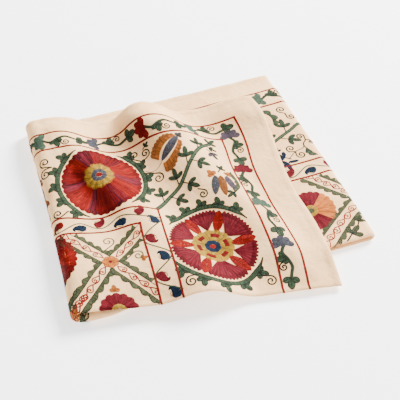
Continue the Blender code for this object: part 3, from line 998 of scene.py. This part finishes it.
def paisley(work, place, thread):
    """A plump curled drop with a pale inner crescent."""
    spine = (-0.95 - 0.1j, -0.5 - 0.12j, 0.05 - 0.1j, 0.55 + 0.1j, 0.85 + 0.5j, 0.62 + 0.86j)
    spine = through(spine, steps=8)
    t = np.linspace(0, 1, len(spine))
    half = 0.86 * np.sin(np.pi * np.clip(t * 0.94 + 0.03, 0, 1) ** 0.62) ** 0.8 * (1 - 0.45 * t)
    shade = lambda s: 0.55 - 0.2 * s
    work.satin(place(beside(spine, half)), place(beside(spine, -half)), thread, 0.11, shade)
    crescent = through((-0.55 + 0.62j, -0.1 + 0.8j, 0.3 + 0.62j), steps=6)
    work.line(place(crescent), thread, 0.12, 0.2, 0.3, 1.0)


def small_flower(work, place, petals, radius, thread, eye):
    """A flower of round petals around an eye."""
    circle = ray(np.linspace(0, 360, 17))
    for k in range(petals):
        at = 0.62 * radius * ray(360 * k / petals)
        spot(work, place_within(place, at, 360 * k / petals), 0.42 * radius, thread, 0.62 + 0.2 * (k % 2))
        work.line(place(at + 0.42 * radius * circle), "rust", 0.13, 0.2, 0.4, 1.5)
    spot(work, place, 0.3 * radius, eye)


# An open tulip's wings: points of their inner edge beside the almond, and of their outer edge.
TULIP_WINGS = (
    (
        (-0.1 + 0.6j, 0.9 + 1.1j, 2.2 + 1.3j, 3.8 + 1.1j, 5.0 + 0.65j, 5.75 + 0.3j),
        (-0.3 + 2.6j, 0.8 + 3.1j, 2.4 + 3.2j, 4.3 + 2.8j, 5.4 + 1.85j, 5.8 + 0.95j),
    ),
    (
        (-0.3 - 0.5j, 0.3 - 0.95j, 1.2 - 1.15j, 2.4 - 1.2j, 3.6 - 1.1j, 4.7 - 0.8j, 5.3 - 0.5j),
        (-1.7 - 2.0j, -0.9 - 3.0j, 0.5 - 3.2j, 2.0 - 2.8j, 3.2 - 2.4j, 4.85 - 1.8j, 5.4 - 0.95j),
    ),
)


def open_tulip(work, place):
    """A tulip along +x: a grey almond between two rust wings with feathered edges."""
    leaf(work, place, 5.9, 1.6, "grey", "mauve", 1.0)
    for sign, (inner, outer) in zip((1, -1), TULIP_WINGS):
        inner, outer = through(inner), through(outer)
        t = distance_along(outer) / distance_along(outer)[-1]
        outer = beside(outer, sign * 0.28 * (np.abs(np.sin(t * 9 * np.pi)) - 0.5))
        streak = lambda s: 0.42 + 0.35 * np.abs(np.sin(s * 9 * np.pi))
        work.satin(place(inner), place(outer), "rust", 0.12, streak)
        work.satin(place(inner), place(0.45 * inner + 0.55 * outer), "orange", 0.24, 0.35, 1.1)
    trefoil(work, place_within(place, 5.9), 0.75, "grey", "stem_brown")


# A three-petalled tulip: where each petal starts, its turn, length, thread and edge.
TULIP_PETALS = (
    (-0.95j, -14, 4.3, "grey", "olive"),
    (0j, -2, 4.8, "rust", "rust"),
    (1.1j, 12, 3.8, "mauve", "grey"),
)


def three_tulip(work, place):
    """A tulip that opens along +x, with small sprigs around its base."""
    for at, turn, length, thread, edge in TULIP_PETALS:
        leaf(work, place_within(place, at, turn), length, 1.4, thread, edge, 0.75, 0.1)
    trefoil(work, place_within(place, -0.2 - 1.3j, 215), 0.95, "orange", "rust", 0.3)
    trefoil(work, place_within(place, -0.3 + 1.5j, 150), 0.8, "orange", "rust", 0.3)


# --- the design, in centimetres on the flat cloth ---------------------------------------------

# Chain-stitched lines around the borders: distance from the hem or the lengthwise fold.
OUTER_ALONG, INNER_ALONG = 5.4, 9.8
OUTER_ACROSS, INNER_ACROSS = 42.6, 38.2
FIELD_ALONG = (27.2, 31.0)
FIELD_ACROSS = (20.8, 17.0)
FAR = LENGTH / CM
FRAMES = ((OUTER_ALONG, OUTER_ACROSS), (INNER_ALONG, INNER_ACROSS), *zip(FIELD_ALONG, FIELD_ACROSS))
# Where the work on the top third ends and that on the middle third runs, past their folds.
TOP_END, MIDDLE_START, MIDDLE_END = 58.0, 62.0, 110.0
# How far the work runs on past the lengthwise fold, and the shortest stitch.
PAST_FOLD, SHORTEST = 3.0, 0.02


def border_lines(work):
    """Red chain-stitched lines around the borders and the middle field."""
    sway = lambda line: line + 0.1 * np.sin(distance_along(line) / 2.3) * (1 + 1j)
    along = lambda u0, u1, v: sway(np.linspace(complex(u0, v), complex(u1, v), 120))
    across = lambda u, v0, v1: sway(np.linspace(complex(u, v0), complex(u, v1), 120))
    for offset, tone in ((-0.09, 0.6), (0.09, 0.4)):
        for u, v in FRAMES:
            u, v = u + offset, v - offset
            middle_end = min(MIDDLE_END, FAR - u)
            lines = along(u, TOP_END, v), across(u, -PAST_FOLD, v), along(MIDDLE_START, middle_end, -v)
            for line in lines:
                work.line(line, "line_red", 0.25, 0.36, tone)
        for u in FIELD_ALONG:
            work.line(across(FAR - u + offset, -22, 0), "line_red", 0.25, 0.36, tone)


def curls(work, rows, thread="stem_brown", width=0.3):
    """Spirals on the flat cloth, from rows of start, middle, radius and hand."""
    for start, middle, radius, hand in rows:
        work.line(coil(start, middle, 1.3 * radius, hand), thread, width, 0.24)


def sprigs(work, rows, thread="leaf_green", edge="dark_green", spread=55):
    """Leaves on stalks on the flat cloth, from rows of root, where the leaf points, and size."""
    for root, tip, size in rows:
        stalk = abs(tip - root) * 0.45
        head = pointing(root + (tip - root) * 0.45, tip)
        trefoil(work, head, 1.2 * size, thread, edge, stalk, spread, 0.6)


ROSETTE_CURLS = (
    (45.2 + 33.6j, 46.4 + 35.0j, 0.85, 1),
    (45.2 + 33.6j, 46.5 + 32.2j, 0.85, -1),
    (43.2 + 22.6j, 45.1 + 22.1j, 0.75, 1),
    (28.2 + 34.4j, 29.1 + 36.2j, 0.7, 1),
    (28.0 + 34.0j, 26.9 + 35.6j, 0.75, -1),
    (27.9 + 31.2j, 25.4 + 29.1j, 0.85, 1),
    (23.4 + 3.6j, 25.4 + 2.5j, 0.8, -1),
    (13.3 + 3.9j, 11.5 + 2.6j, 0.75, 1),
    (46.6 + 26.0j, 48.3 + 22.9j, 0.7, -1),
    (18.6 + 23.8j, 17.9 + 22.4j, 0.7, 1),
)


def rosettes(work):
    """The main border's rosettes with their wreaths and spirals."""
    first = Place(36.3, 29.3, tall=1.06)
    poppy(work, first)
    wreath(work, first, 8.25, 120, 247, 5)
    wreath(work, first, 8.25, -56, 62, 5)
    second = Place(19.4, 10.9, tall=1.05)
    star_rosette(work, second)
    wreath(work, second, 8.4, 30, 142, 5)
    wreath(work, second, 8.4, 200, 334, 5)
    curls(work, ROSETTE_CURLS)
    sprigs(work, ((27.2 + 36.6j, 26.1 + 37.4j, 0.6),))


def branch(work, points, half=0.36):
    """A green branch: satin between two dark edges, with a paler vein."""
    line = through(points)
    work.satin(beside(line, half), beside(line, -half), "leaf_green", 0.12, 0.62, 0.7)
    work.line(line, "pale_green", 0.12, 0.26, 0.75, 1.0)
    for sign in (1, -1):
        work.line(beside(line, half * sign), "dark_green", 0.14, 0.26, 0.5, 0.9)


CORNER_LEAVES = (
    (25.4 + 23.0j, 25.6 + 26.0j, 1.3),
    (24.0 + 24.0j, 21.8 + 22.4j, 1.3),
    (21.9 + 26.2j, 22.1 + 28.5j, 1.35),
    (21.2 + 26.4j, 18.9 + 24.8j, 1.35),
    (19.2 + 29.9j, 19.1 + 32.6j, 1.4),
    (18.4 + 30.3j, 15.9 + 29.0j, 1.4),
    (16.4 + 33.2j, 16.2 + 35.6j, 1.25),
    (14.2 + 35.2j, 12.4 + 36.9j, 1.25),
    (14.4 + 34.6j, 13.0 + 34.0j, 0.9),
)


def corner_spray(work):
    """The corner's green branch with its leaves and two tulips, and the tulip at the left fold."""
    branch(work, (27.2 + 20.9j, 24.4 + 23.7j, 21.5 + 26.0j, 18.6 + 30.0j, 16.0 + 33.4j, 12.9 + 36.0j))
    sprigs(work, CORNER_LEAVES)
    open_tulip(work, Place(24.0, 32.4, 45))
    work.line(through((24.0 + 32.3j, 25.2 + 31.2j, 26.6 + 31.0j, 27.6 + 31.6j)), "olive", 0.14, 0.24)
    three_tulip(work, Place(13.7, 25.7, -90))
    sprigs(work, ((13.9 + 26.6j, 12.6 + 28.6j, 0.85),))
    sprigs(work, ((14.4 + 33.6j, 13.2 + 31.6j, 1.15),), "mauve", "stem_brown")
    stem = through((11.0 + 27.6j, 10.4 + 25.4j, 10.6 + 23.0j, 12.2 + 21.2j))
    leafy_band(work, stem, 0.55, 0.35, 5, "olive", "dark_green", 0.12)
    sprigs(work, ((11.6 + 21.8j, 13.0 + 20.9j, 0.9),))
    # The filler beside the left fold.
    three_tulip(work, Place(49.8, 30.5, -90))
    leaf(work, Place(49.6, 35.4, -75), 3.2, 1.0, "maroon", "crimson")
    leaf(work, Place(51.4, 34.6, -110), 3.2, 1.0, "maroon", "crimson")
    leaf(work, pointing(49.4 + 27.6j, 46.4 + 25.2j), 3.7, 1.3, "rust", "rust")
    leaf(work, pointing(49.6 + 25.0j, 46.8 + 22.0j), 3.8, 1.3, "grey", "olive")
    leaf(work, pointing(49.5 + 33.0j, 47.6 + 30.6j), 3.0, 1.0, "maroon", "crimson")
    trefoil(work, Place(54.4, 29.0, 150), 1.4)
    trefoil(work, Place(54.0, 23.5, 210), 1.3)


VINE_BACK = ((57.2, "red"), (46.8, "pale_green"), (36.5, "grey"), (26.0, "red"), (15.4, "pale_green"))
VINE_RIGHT = ((38.9, "mauve"), (29.1, "crimson"), (19.2, "pale_green"), (9.2, "grey"))
VINE_MIDDLE = ((105.6, "red"), (95.2, "pale_green"), (84.8, "grey"))


def vine_border(work):
    """The undulating vine between the two outer lines, with a blossom every ten centimetres."""
    v = 0.5 * (OUTER_ACROSS + INNER_ACROSS)
    u = 0.5 * (OUTER_ALONG + INNER_ALONG) + 0.3
    for i, (at, thread) in enumerate(VINE_BACK):
        vine_unit(work, Place(at, v + 0.1, 0, mirrored=i % 2 == 0), thread, 10.4, 5, 1.9)
    for i, (at, thread) in enumerate(VINE_RIGHT):
        vine_unit(work, Place(u, at, -90, mirrored=i % 2 == 0), thread, 9.9, 5, 1.85)
    for i, (at, thread) in enumerate(VINE_MIDDLE):
        vine_unit(work, Place(at, -v, 0, mirrored=i % 2 == 1), thread, 10.4, 5, 1.7)


PAISLEYS = (
    (49.4, 19.2, 20, "blue"),
    (45.4, 19.0, 195, "red"),
    (41.6, 18.1, 170, "blue"),
    (38.1, 19.4, 30, "crimson"),
    (34.4, 18.3, 170, "blue"),
    (30.7, 20.0, 40, "crimson"),
    (28.6, 17.6, 100, "blue"),
    (29.8, 13.1, -80, "crimson"),
    (28.5, 8.9, 95, "blue"),
    (29.7, 4.8, -70, "crimson"),
    (28.4, 1.6, 95, "blue"),
)
PAISLEYS_MIDDLE = (
    (87.5, -18.4, 170, "blue"),
    (91.1, -19.1, 30, "crimson"),
    (94.9, -18.2, 170, "blue"),
    (98.9, -19.4, 30, "crimson"),
    (102.7, -18.4, 170, "blue"),
    (106.5, -19.4, 30, "crimson"),
)


def paisley_band(work):
    """Red and blue drops in turn along a thin green vine, around the middle field."""
    for u, v, turn, thread in PAISLEYS + PAISLEYS_MIDDLE:
        paisley(work, Place(u, v, turn, 1.1), thread)
    for places in (PAISLEYS, PAISLEYS_MIDDLE):
        points = []
        for i, (u, v, _, _) in enumerate(places):
            here = complex(u, v)
            along_fold = abs(abs(v) - 18.9) < 1.7 and u > 30
            out = 1j * np.sign(v) if along_fold else -1
            away = 1 if i % 2 == 0 else -1
            points.append(here + out * 1.35 * away)
        work.line(through(points), "leaf_green", 0.28, 0.24, 0.6, 1.2)
        for here, point in zip(places, points):
            middle = complex(*here[:2])
            work.line(np.linspace(point, middle, 6)[1:4], "leaf_green", 0.12, 0.24, 0.5, 0.7)


# The trellis's crossings; its bars run from them to the lengthwise fold and to the field's edge.
CROSSINGS = ((37.4, 9.3), (53.6, 9.0))
FOLD_CROSSINGS = (45.5, 61.5)
BAR_STEP = 8.0


def trellis_bar(work, start, end, scrolls, half=0.95, curl=0.52):
    """Two green serrated edges with a red scroll between them."""
    way = (end - start) / abs(end - start)
    first = start + way * half
    lobes = max(2, round(abs(end - first) / 1.8))
    for sign in (1, -1):
        edge = first + 1j * way * half * sign, end + 1j * way * half * sign
        line = np.linspace(edge[0], edge[1], 60)
        if sign < 0:
            line = line[::-1]
        leafy_band(work, line, 0.42, 0.5, lobes, "olive", "dark_green", 0.0, 0.12, 1.5 if sign > 0 else 0.6)
    step = abs(end - start - 1.7 * way) / scrolls
    t = np.linspace(0, scrolls, 16 * scrolls)
    wave = start + way * (1.5 + step * t) + 1j * way * 0.45 * np.sin(np.pi * t)
    work.line(wave, "line_red", 0.23, 0.22, 0.7, 1.3)
    for k in range(scrolls):
        side = -1 if k % 2 == 0 else 1
        at = start + way * (1.5 + step * k)
        middle = at + way * step * 0.62 + 1j * way * 0.1 * side
        work.line(coil(at + way * step * 0.05, middle, curl, -side, 1.3), "line_red", 0.23, 0.22, 0.7, 1.3)


def trellis(work):
    """The middle field: a trellis with an orange flower at each crossing."""
    work.field_only = True
    for u, v in CROSSINGS:
        for step in (-BAR_STEP, BAR_STEP):
            trellis_bar(work, complex(u, v), complex(u + step, 17.4 * np.sign(v)), 4)
            trellis_bar(work, complex(u, v), complex(u + step, 0), 5)
        small_flower(work, Place(u, v, 20), 7, 1.35, "orange", "crimson")
    for u in FOLD_CROSSINGS:
        for way in (-3 - 3.4j, 3 - 3.4j, -3 + 3.4j, 3 + 3.4j):
            trellis_bar(work, complex(u, 0), u + way, 2)
        small_flower(work, Place(u, 0.0), 7, 1.2, "orange", "crimson")
    # The two bars of the middle third, which meet behind its fold, and the sprout between them.
    trellis_bar(work, 100.9 - 9.4j, 93.3 - 17.6j, 5)
    trellis_bar(work, 102.6 - 9.4j, 90.0 + 0.0j, 7, 1.2, 0.66)
    sprigs(work, ((94.6 - 0.3j, 97.6 - 2.3j, 1.4), (98.0 - 2.6j, 99.4 - 4.4j, 0.9)), "olive", "dark_green")
    curls(work, ((38.6 + 11.6j, 37.2 + 14.4j, 0.85, -1), (34.6 + 9.6j, 32.6 + 10.0j, 0.8, 1)), "olive", 0.24)
    trefoil(work, Place(32.2, 9.2, 10), 0.65, "orange", "rust")


FLOWER_LEFT = (
    (0.08, "orange_red"),
    (0.20, "red"),
    (0.31, "maroon"),
    (0.45, "orange_red"),
    (0.60, "red"),
    (0.70, "orange_red"),
    (0.83, "maroon"),
    (0.93, "red"),
    (1.0, "orange_red"),
)


FLOWER_RIGHT = ((0.13, "orange"), (0.37, "crimson"), (0.63, "orange"), (0.87, "crimson"), (1.0, "orange"))


def field_flowers(work):
    """The large flowers between the trellis bars."""
    left = Place(47.7, 11.4, tall=1.12)
    work.longest = 0.8
    ring(work, left, 1.5, 4.5, sectors(FLOWER_LEFT), lambda t: 0.5 + 0.12 * np.sin(t * 87), 0.11, 26, 0.15)
    ring(work, left, 4.2, 4.8, sectors(FLOWER_LEFT), 0.3, 0.12, 26, 0.32, lift=1.15)
    ring(work, left, 0.7, 1.55, "gold", 0.5, 0.12)
    spot(work, left, 0.7, "blue")
    work.longest = 1.5
    # The magenta flower that turns under at the lengthwise fold, with its orange sprout.
    near = Place(38.0, -0.3)
    streak = lambda t: 0.4 + 0.3 * np.abs(np.sin(t * 14 * np.pi))
    ring(work, near, 1.2, 3.0, "crimson", streak, 0.11, 14, 0.35)
    ring(work, near, 0.5, 1.25, "gold", 0.55, 0.12)
    spot(work, near, 0.5, "olive")
    trefoil(work, Place(38.0, 3.2, 90), 0.8, "orange", "rust")
    # The flower of the middle third: crimson towards the fold and the field's edge, orange between.
    right = Place(91.7, -8.8)
    petals = sectors(FLOWER_RIGHT)
    ring(work, right, 1.3, 4.4, petals, streak, 0.11, 22, 0.3)
    ring(work, right, 0.6, 1.35, "gold", 0.6, 0.12)
    spot(work, right, 0.62, "olive")


MIDDLE_LEAVES = (
    (93.7 - 28.3j, 95.9 - 27.0j, 1.35),
    (95.3 - 29.5j, 95.9 - 32.6j, 1.35),
    (91.4 - 27.5j, 91.8 - 30.4j, 1.3),
    (91.0 - 24.2j, 91.5 - 26.1j, 0.7),
    (101.8 - 29.2j, 103.4 - 26.9j, 1.3),
    (102.6 - 30.2j, 104.0 - 32.8j, 1.25),
)
MIDDLE_CURLS = (
    (97.8 - 34.7j, 97.6 - 36.0j, 0.7, 1),
    (97.8 - 34.7j, 98.4 - 33.5j, 0.6, -1),
    (97.6 - 26.2j, 97.1 - 27.5j, 0.6, -1),
    (97.6 - 26.2j, 98.3 - 25.5j, 0.45, 1),
    (94.4 - 23.9j, 93.9 - 25.0j, 0.7, 1),
    (94.4 - 23.9j, 95.0 - 22.8j, 0.7, -1),
    (103.0 - 25.6j, 103.4 - 23.8j, 0.75, 1),
    (103.2 - 26.0j, 104.4 - 26.9j, 0.65, -1),
)


def middle_border(work):
    """The main border where the middle third shows beside the top third."""
    arch = through((92.2 - 36.9j, 94.1 - 36.1j, 94.8 - 34.5j, 94.2 - 32.3j))
    leafy_band(work, arch[::-1], 0.45, 0.75, 4, "leaf_green", "dark_green", 0.1)
    fan_blossom(work, Place(92.5, -33.6, 180), "rust", 5, 1.6, 170)
    branch(work, (90.0 - 26.8j, 93.1 - 28.4j, 96.2 - 29.8j, 98.9 - 31.1j, 101.4 - 30.4j, 104.6 - 28.6j), 0.3)
    sprigs(work, MIDDLE_LEAVES)
    rib = through((96.8 - 24.2j, 97.2 - 22.9j, 97.9 - 21.7j))
    leafy_band(work, rib, 0.75, 0.35, 4, "leaf_green", "dark_green", 0.3)
    work.line(through((97.6 - 26.2j, 96.7 - 25.3j, 96.7 - 24.2j, 97.2 - 22.9j)), "stem_brown", 0.28, 0.24)
    work.line(through((92.4 - 22.5j, 94.4 - 23.9j, 96.0 - 24.3j, 96.7 - 25.0j)), "olive", 0.2, 0.24)
    curls(work, MIDDLE_CURLS)
    sprigs(work, ((92.8 - 22.3j, 90.9 - 24.1j, 1.15), (93.0 - 21.9j, 90.6 - 21.0j, 1.25)), "blue", "blue", 60)
    leaf(work, pointing(92.0 - 21.7j, 93.9 - 21.5j), 1.9, 0.6, "blue", "blue")
    sprigs(work, ((104.6 - 22.6j, 106.0 - 23.4j, 1.2),), "blue", "blue", 50)


def hem_stitches(work):
    """Small cream stitches that hold the doubled hem, 1 cm from the edge."""
    rows = (
        np.linspace(1.0 - 3j, 1.0 + 47j, 130),
        np.linspace(1.0 + 47j, TOP_END + 47j, 150),
        np.linspace(MIDDLE_START - 47j, MIDDLE_END - 47j, 80),
    )
    for row in rows:
        work.stitches(row[:-1], row[:-1] + 0.45 * np.diff(row), 0.11, 0.11, THREAD_INDEX["cream"], 0.4, 0.6)


# --- the pieces -------------------------------------------------------------------------------


class SuzaniCloth(bpy.types.PropertyGroup):
    """The cotton cloth."""

    puckers: FloatProperty(
        name="Puckers",
        description="How much the cloth's small puckers and hem stand out",
        default=1.0, min=0.0, max=2.0,
    )
    light: FloatVectorProperty(
        name="Cotton",
        description="Colour of the clean cotton",
        subtype="COLOR", default=linear("#fbcb92"), min=0, max=1,
    )
    shade: FloatVectorProperty(
        name="Aged cotton",
        description="Colour of its faint marks",
        subtype="COLOR", default=linear("#e3ae74"), min=0, max=1,
    )


class SuzaniThread(bpy.types.PropertyGroup):
    """The embroidery thread."""

    height: FloatProperty(
        name="Height",
        description="How far a stitch stands off the cloth",
        default=0.0006, min=0.0, max=0.002, unit="LENGTH",
    )


class SuzaniStage(bpy.types.PropertyGroup):
    """The floor, light and camera."""

    key_power: FloatProperty(
        name="Key light",
        description="Power of the large soft light",
        default=1400.0, min=0.0, unit="POWER",
    )
    sky: FloatProperty(
        name="Sky",
        description="Strength of the even light from all round",
        default=1.15, min=0.0,
    )
    floor: FloatVectorProperty(
        name="Floor",
        description="Colour of the studio paper",
        subtype="COLOR", default=linear("#fcfcfc"), min=0, max=1,
    )


SHEET = {}


def folded_sheet(context):
    if "sheet" not in SHEET:
        SHEET["sheet"] = FoldedSheet(context.scene.suzani_cloth.puckers)
        SHEET["materials"] = {name: thread_material(name, linear(colour)) for name, colour in THREADS.items()}
    return SHEET["sheet"], SHEET["materials"]


class SUZANI_OT_cloth(bpy.types.Operator):
    """Make the folded cotton cloth"""

    bl_idname = "suzani.cloth"
    bl_label = "Folded cloth"

    def execute(self, context):
        sheet, _ = folded_sheet(context)
        settings = context.scene.suzani_cloth
        across = len(sheet.v)
        first = np.arange(len(sheet.u) * across).reshape(len(sheet.u), across)
        faces = grid_quads(first)
        cloth = mesh_piece("folded_cotton_cloth", sheet.place.reshape(-1, 3), faces)
        flat = np.stack(np.meshgrid(sheet.u, sheet.v, indexing="ij"), axis=-1).reshape(-1, 2)
        layer = cloth.data.uv_layers.new(name="flat")
        corners = np.zeros(len(cloth.data.loops), np.int32)
        cloth.data.loops.foreach_get("vertex_index", corners)
        layer.data.foreach_set("uv", flat[corners].astype(np.float32).reshape(-1))
        cloth.data.materials.append(cotton_material(settings.light, settings.shade))
        bpy.ops.object.select_all(action="DESELECT")
        context.view_layer.objects.active = cloth
        cloth.select_set(True)
        thickness = cloth.modifiers.new("cloth thickness", "SOLIDIFY")
        thickness.thickness = THICKNESS
        thickness.offset = 0.0
        bpy.ops.object.modifier_apply(modifier=thickness.name)
        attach(cloth, "root")
        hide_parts("suzani_cloth")
        return {"FINISHED"}


def embroider(context, name, seed, *motifs):
    """Work motifs and make them one piece that rides on the cloth."""
    sheet, materials = folded_sheet(context)
    work = Needlework(seed, context.scene.suzani_thread.height)
    for motif in motifs:
        motif(work)
    piece = work.mesh(name, sheet, materials)
    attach(piece, "root")
    return {"FINISHED"}


class SUZANI_OT_border_lines(bpy.types.Operator):
    """Work the red chain-stitched border lines and the hem stitches"""

    bl_idname = "suzani.border_lines"
    bl_label = "Border lines"

    def execute(self, context):
        return embroider(context, "chain_stitched_lines", 1, border_lines, hem_stitches)


class SUZANI_OT_rosettes(bpy.types.Operator):
    """Work the rosettes with their wreaths and spirals"""

    bl_idname = "suzani.rosettes"
    bl_label = "Rosettes"

    def execute(self, context):
        return embroider(context, "rosettes", 2, rosettes)


class SUZANI_OT_sprays(bpy.types.Operator):
    """Work the corner spray, its tulips and the border of the middle third"""

    bl_idname = "suzani.sprays"
    bl_label = "Sprays"

    def execute(self, context):
        return embroider(context, "flower_sprays", 3, corner_spray, middle_border)


class SUZANI_OT_vine(bpy.types.Operator):
    """Work the outer vine with its blossoms"""

    bl_idname = "suzani.vine"
    bl_label = "Vine border"

    def execute(self, context):
        return embroider(context, "vine_border", 4, vine_border)


class SUZANI_OT_paisleys(bpy.types.Operator):
    """Work the band of red and blue drops"""

    bl_idname = "suzani.paisleys"
    bl_label = "Paisley band"

    def execute(self, context):
        return embroider(context, "paisley_band", 5, paisley_band)


class SUZANI_OT_trellis(bpy.types.Operator):
    """Work the trellis and the flowers of the middle field"""

    bl_idname = "suzani.trellis"
    bl_label = "Trellis"

    def execute(self, context):
        embroider(context, "trellis", 6, trellis)
        return embroider(context, "field_flowers", 7, field_flowers)


CAMERA_TARGET = Vector((0.0194, -0.0028, 0.0))
CAMERA_PLACE = Vector((-0.4245, -1.2093, 1.2855))


class SUZANI_OT_stage(bpy.types.Operator):
    """Add the floor, the soft studio light and the camera"""

    bl_idname = "suzani.stage"
    bl_label = "Stage"

    def execute(self, context):
        settings = context.scene.suzani_stage
        bpy.ops.object.select_all(action="DESELECT")
        bpy.ops.mesh.primitive_plane_add(size=12, location=(0, 0, -0.0003))
        floor = context.active_object
        floor.name = "studio_floor"
        floor.data.materials.append(backdrop_material(settings.floor))
        world = bpy.data.worlds.new("studio_sky")
        world.use_nodes = True
        sky = world.node_tree.nodes["Background"]
        sky.inputs["Color"].default_value = (1, 1, 1, 1)
        sky.inputs["Strength"].default_value = settings.sky
        context.scene.world = world
        bpy.ops.object.light_add(type="AREA", location=(3.8, 1.8, 3.2))
        key = context.active_object
        key.name = "key_light"
        key.data.shape = "DISK"
        key.data.size = 2.4
        key.data.energy = settings.key_power
        key.rotation_euler = (CAMERA_TARGET - key.location).to_track_quat("-Z", "Y").to_euler()
        bpy.ops.object.camera_add(location=CAMERA_PLACE)
        camera = context.active_object
        camera.name = "photo_camera"
        camera.data.lens = 90
        camera.data.sensor_width = 36
        camera.rotation_euler = (CAMERA_TARGET - CAMERA_PLACE).to_track_quat("-Z", "Y").to_euler()
        context.scene.camera = camera
        return {"FINISHED"}


class SUZANI_PT_panel(bpy.types.Panel):
    """The steps that make the folded suzani"""

    bl_label = "Folded Suzani"
    bl_idname = "SUZANI_PT_panel"
    bl_space_type = "VIEW_3D"
    bl_region_type = "UI"
    bl_category = "Suzani"

    def draw(self, context):
        layout = self.layout
        for group in ("suzani_cloth", "suzani_thread", "suzani_stage"):
            settings = getattr(context.scene, group)
            for name in settings.bl_rna.properties.keys():
                if name not in ("rna_type", "name"):
                    layout.prop(settings, name)
        for operator in OPERATORS:
            layout.operator(operator.bl_idname)


SETTINGS = {"suzani_cloth": SuzaniCloth, "suzani_thread": SuzaniThread, "suzani_stage": SuzaniStage}
OPERATORS = (
    SUZANI_OT_cloth,
    SUZANI_OT_border_lines,
    SUZANI_OT_rosettes,
    SUZANI_OT_sprays,
    SUZANI_OT_vine,
    SUZANI_OT_paisleys,
    SUZANI_OT_trellis,
    SUZANI_OT_stage,
)


def register():
    for each in (*SETTINGS.values(), *OPERATORS, SUZANI_PT_panel):
        bpy.utils.register_class(each)
    for name, group in SETTINGS.items():
        setattr(bpy.types.Scene, name, PointerProperty(type=group))


def unregister():
    for name in SETTINGS:
        delattr(bpy.types.Scene, name)
    for each in reversed((*SETTINGS.values(), *OPERATORS, SUZANI_PT_panel)):
        bpy.utils.unregister_class(each)


def main():
    register()
    bpy.ops.suzani.cloth()
    bpy.ops.suzani.border_lines()
    bpy.ops.suzani.rosettes()
    bpy.ops.suzani.sprays()
    bpy.ops.suzani.vine()
    bpy.ops.suzani.paisleys()
    bpy.ops.suzani.trellis()
    bpy.ops.suzani.stage()
    bpy.context.view_layer.update()


if __name__ == "__main__":
    main()
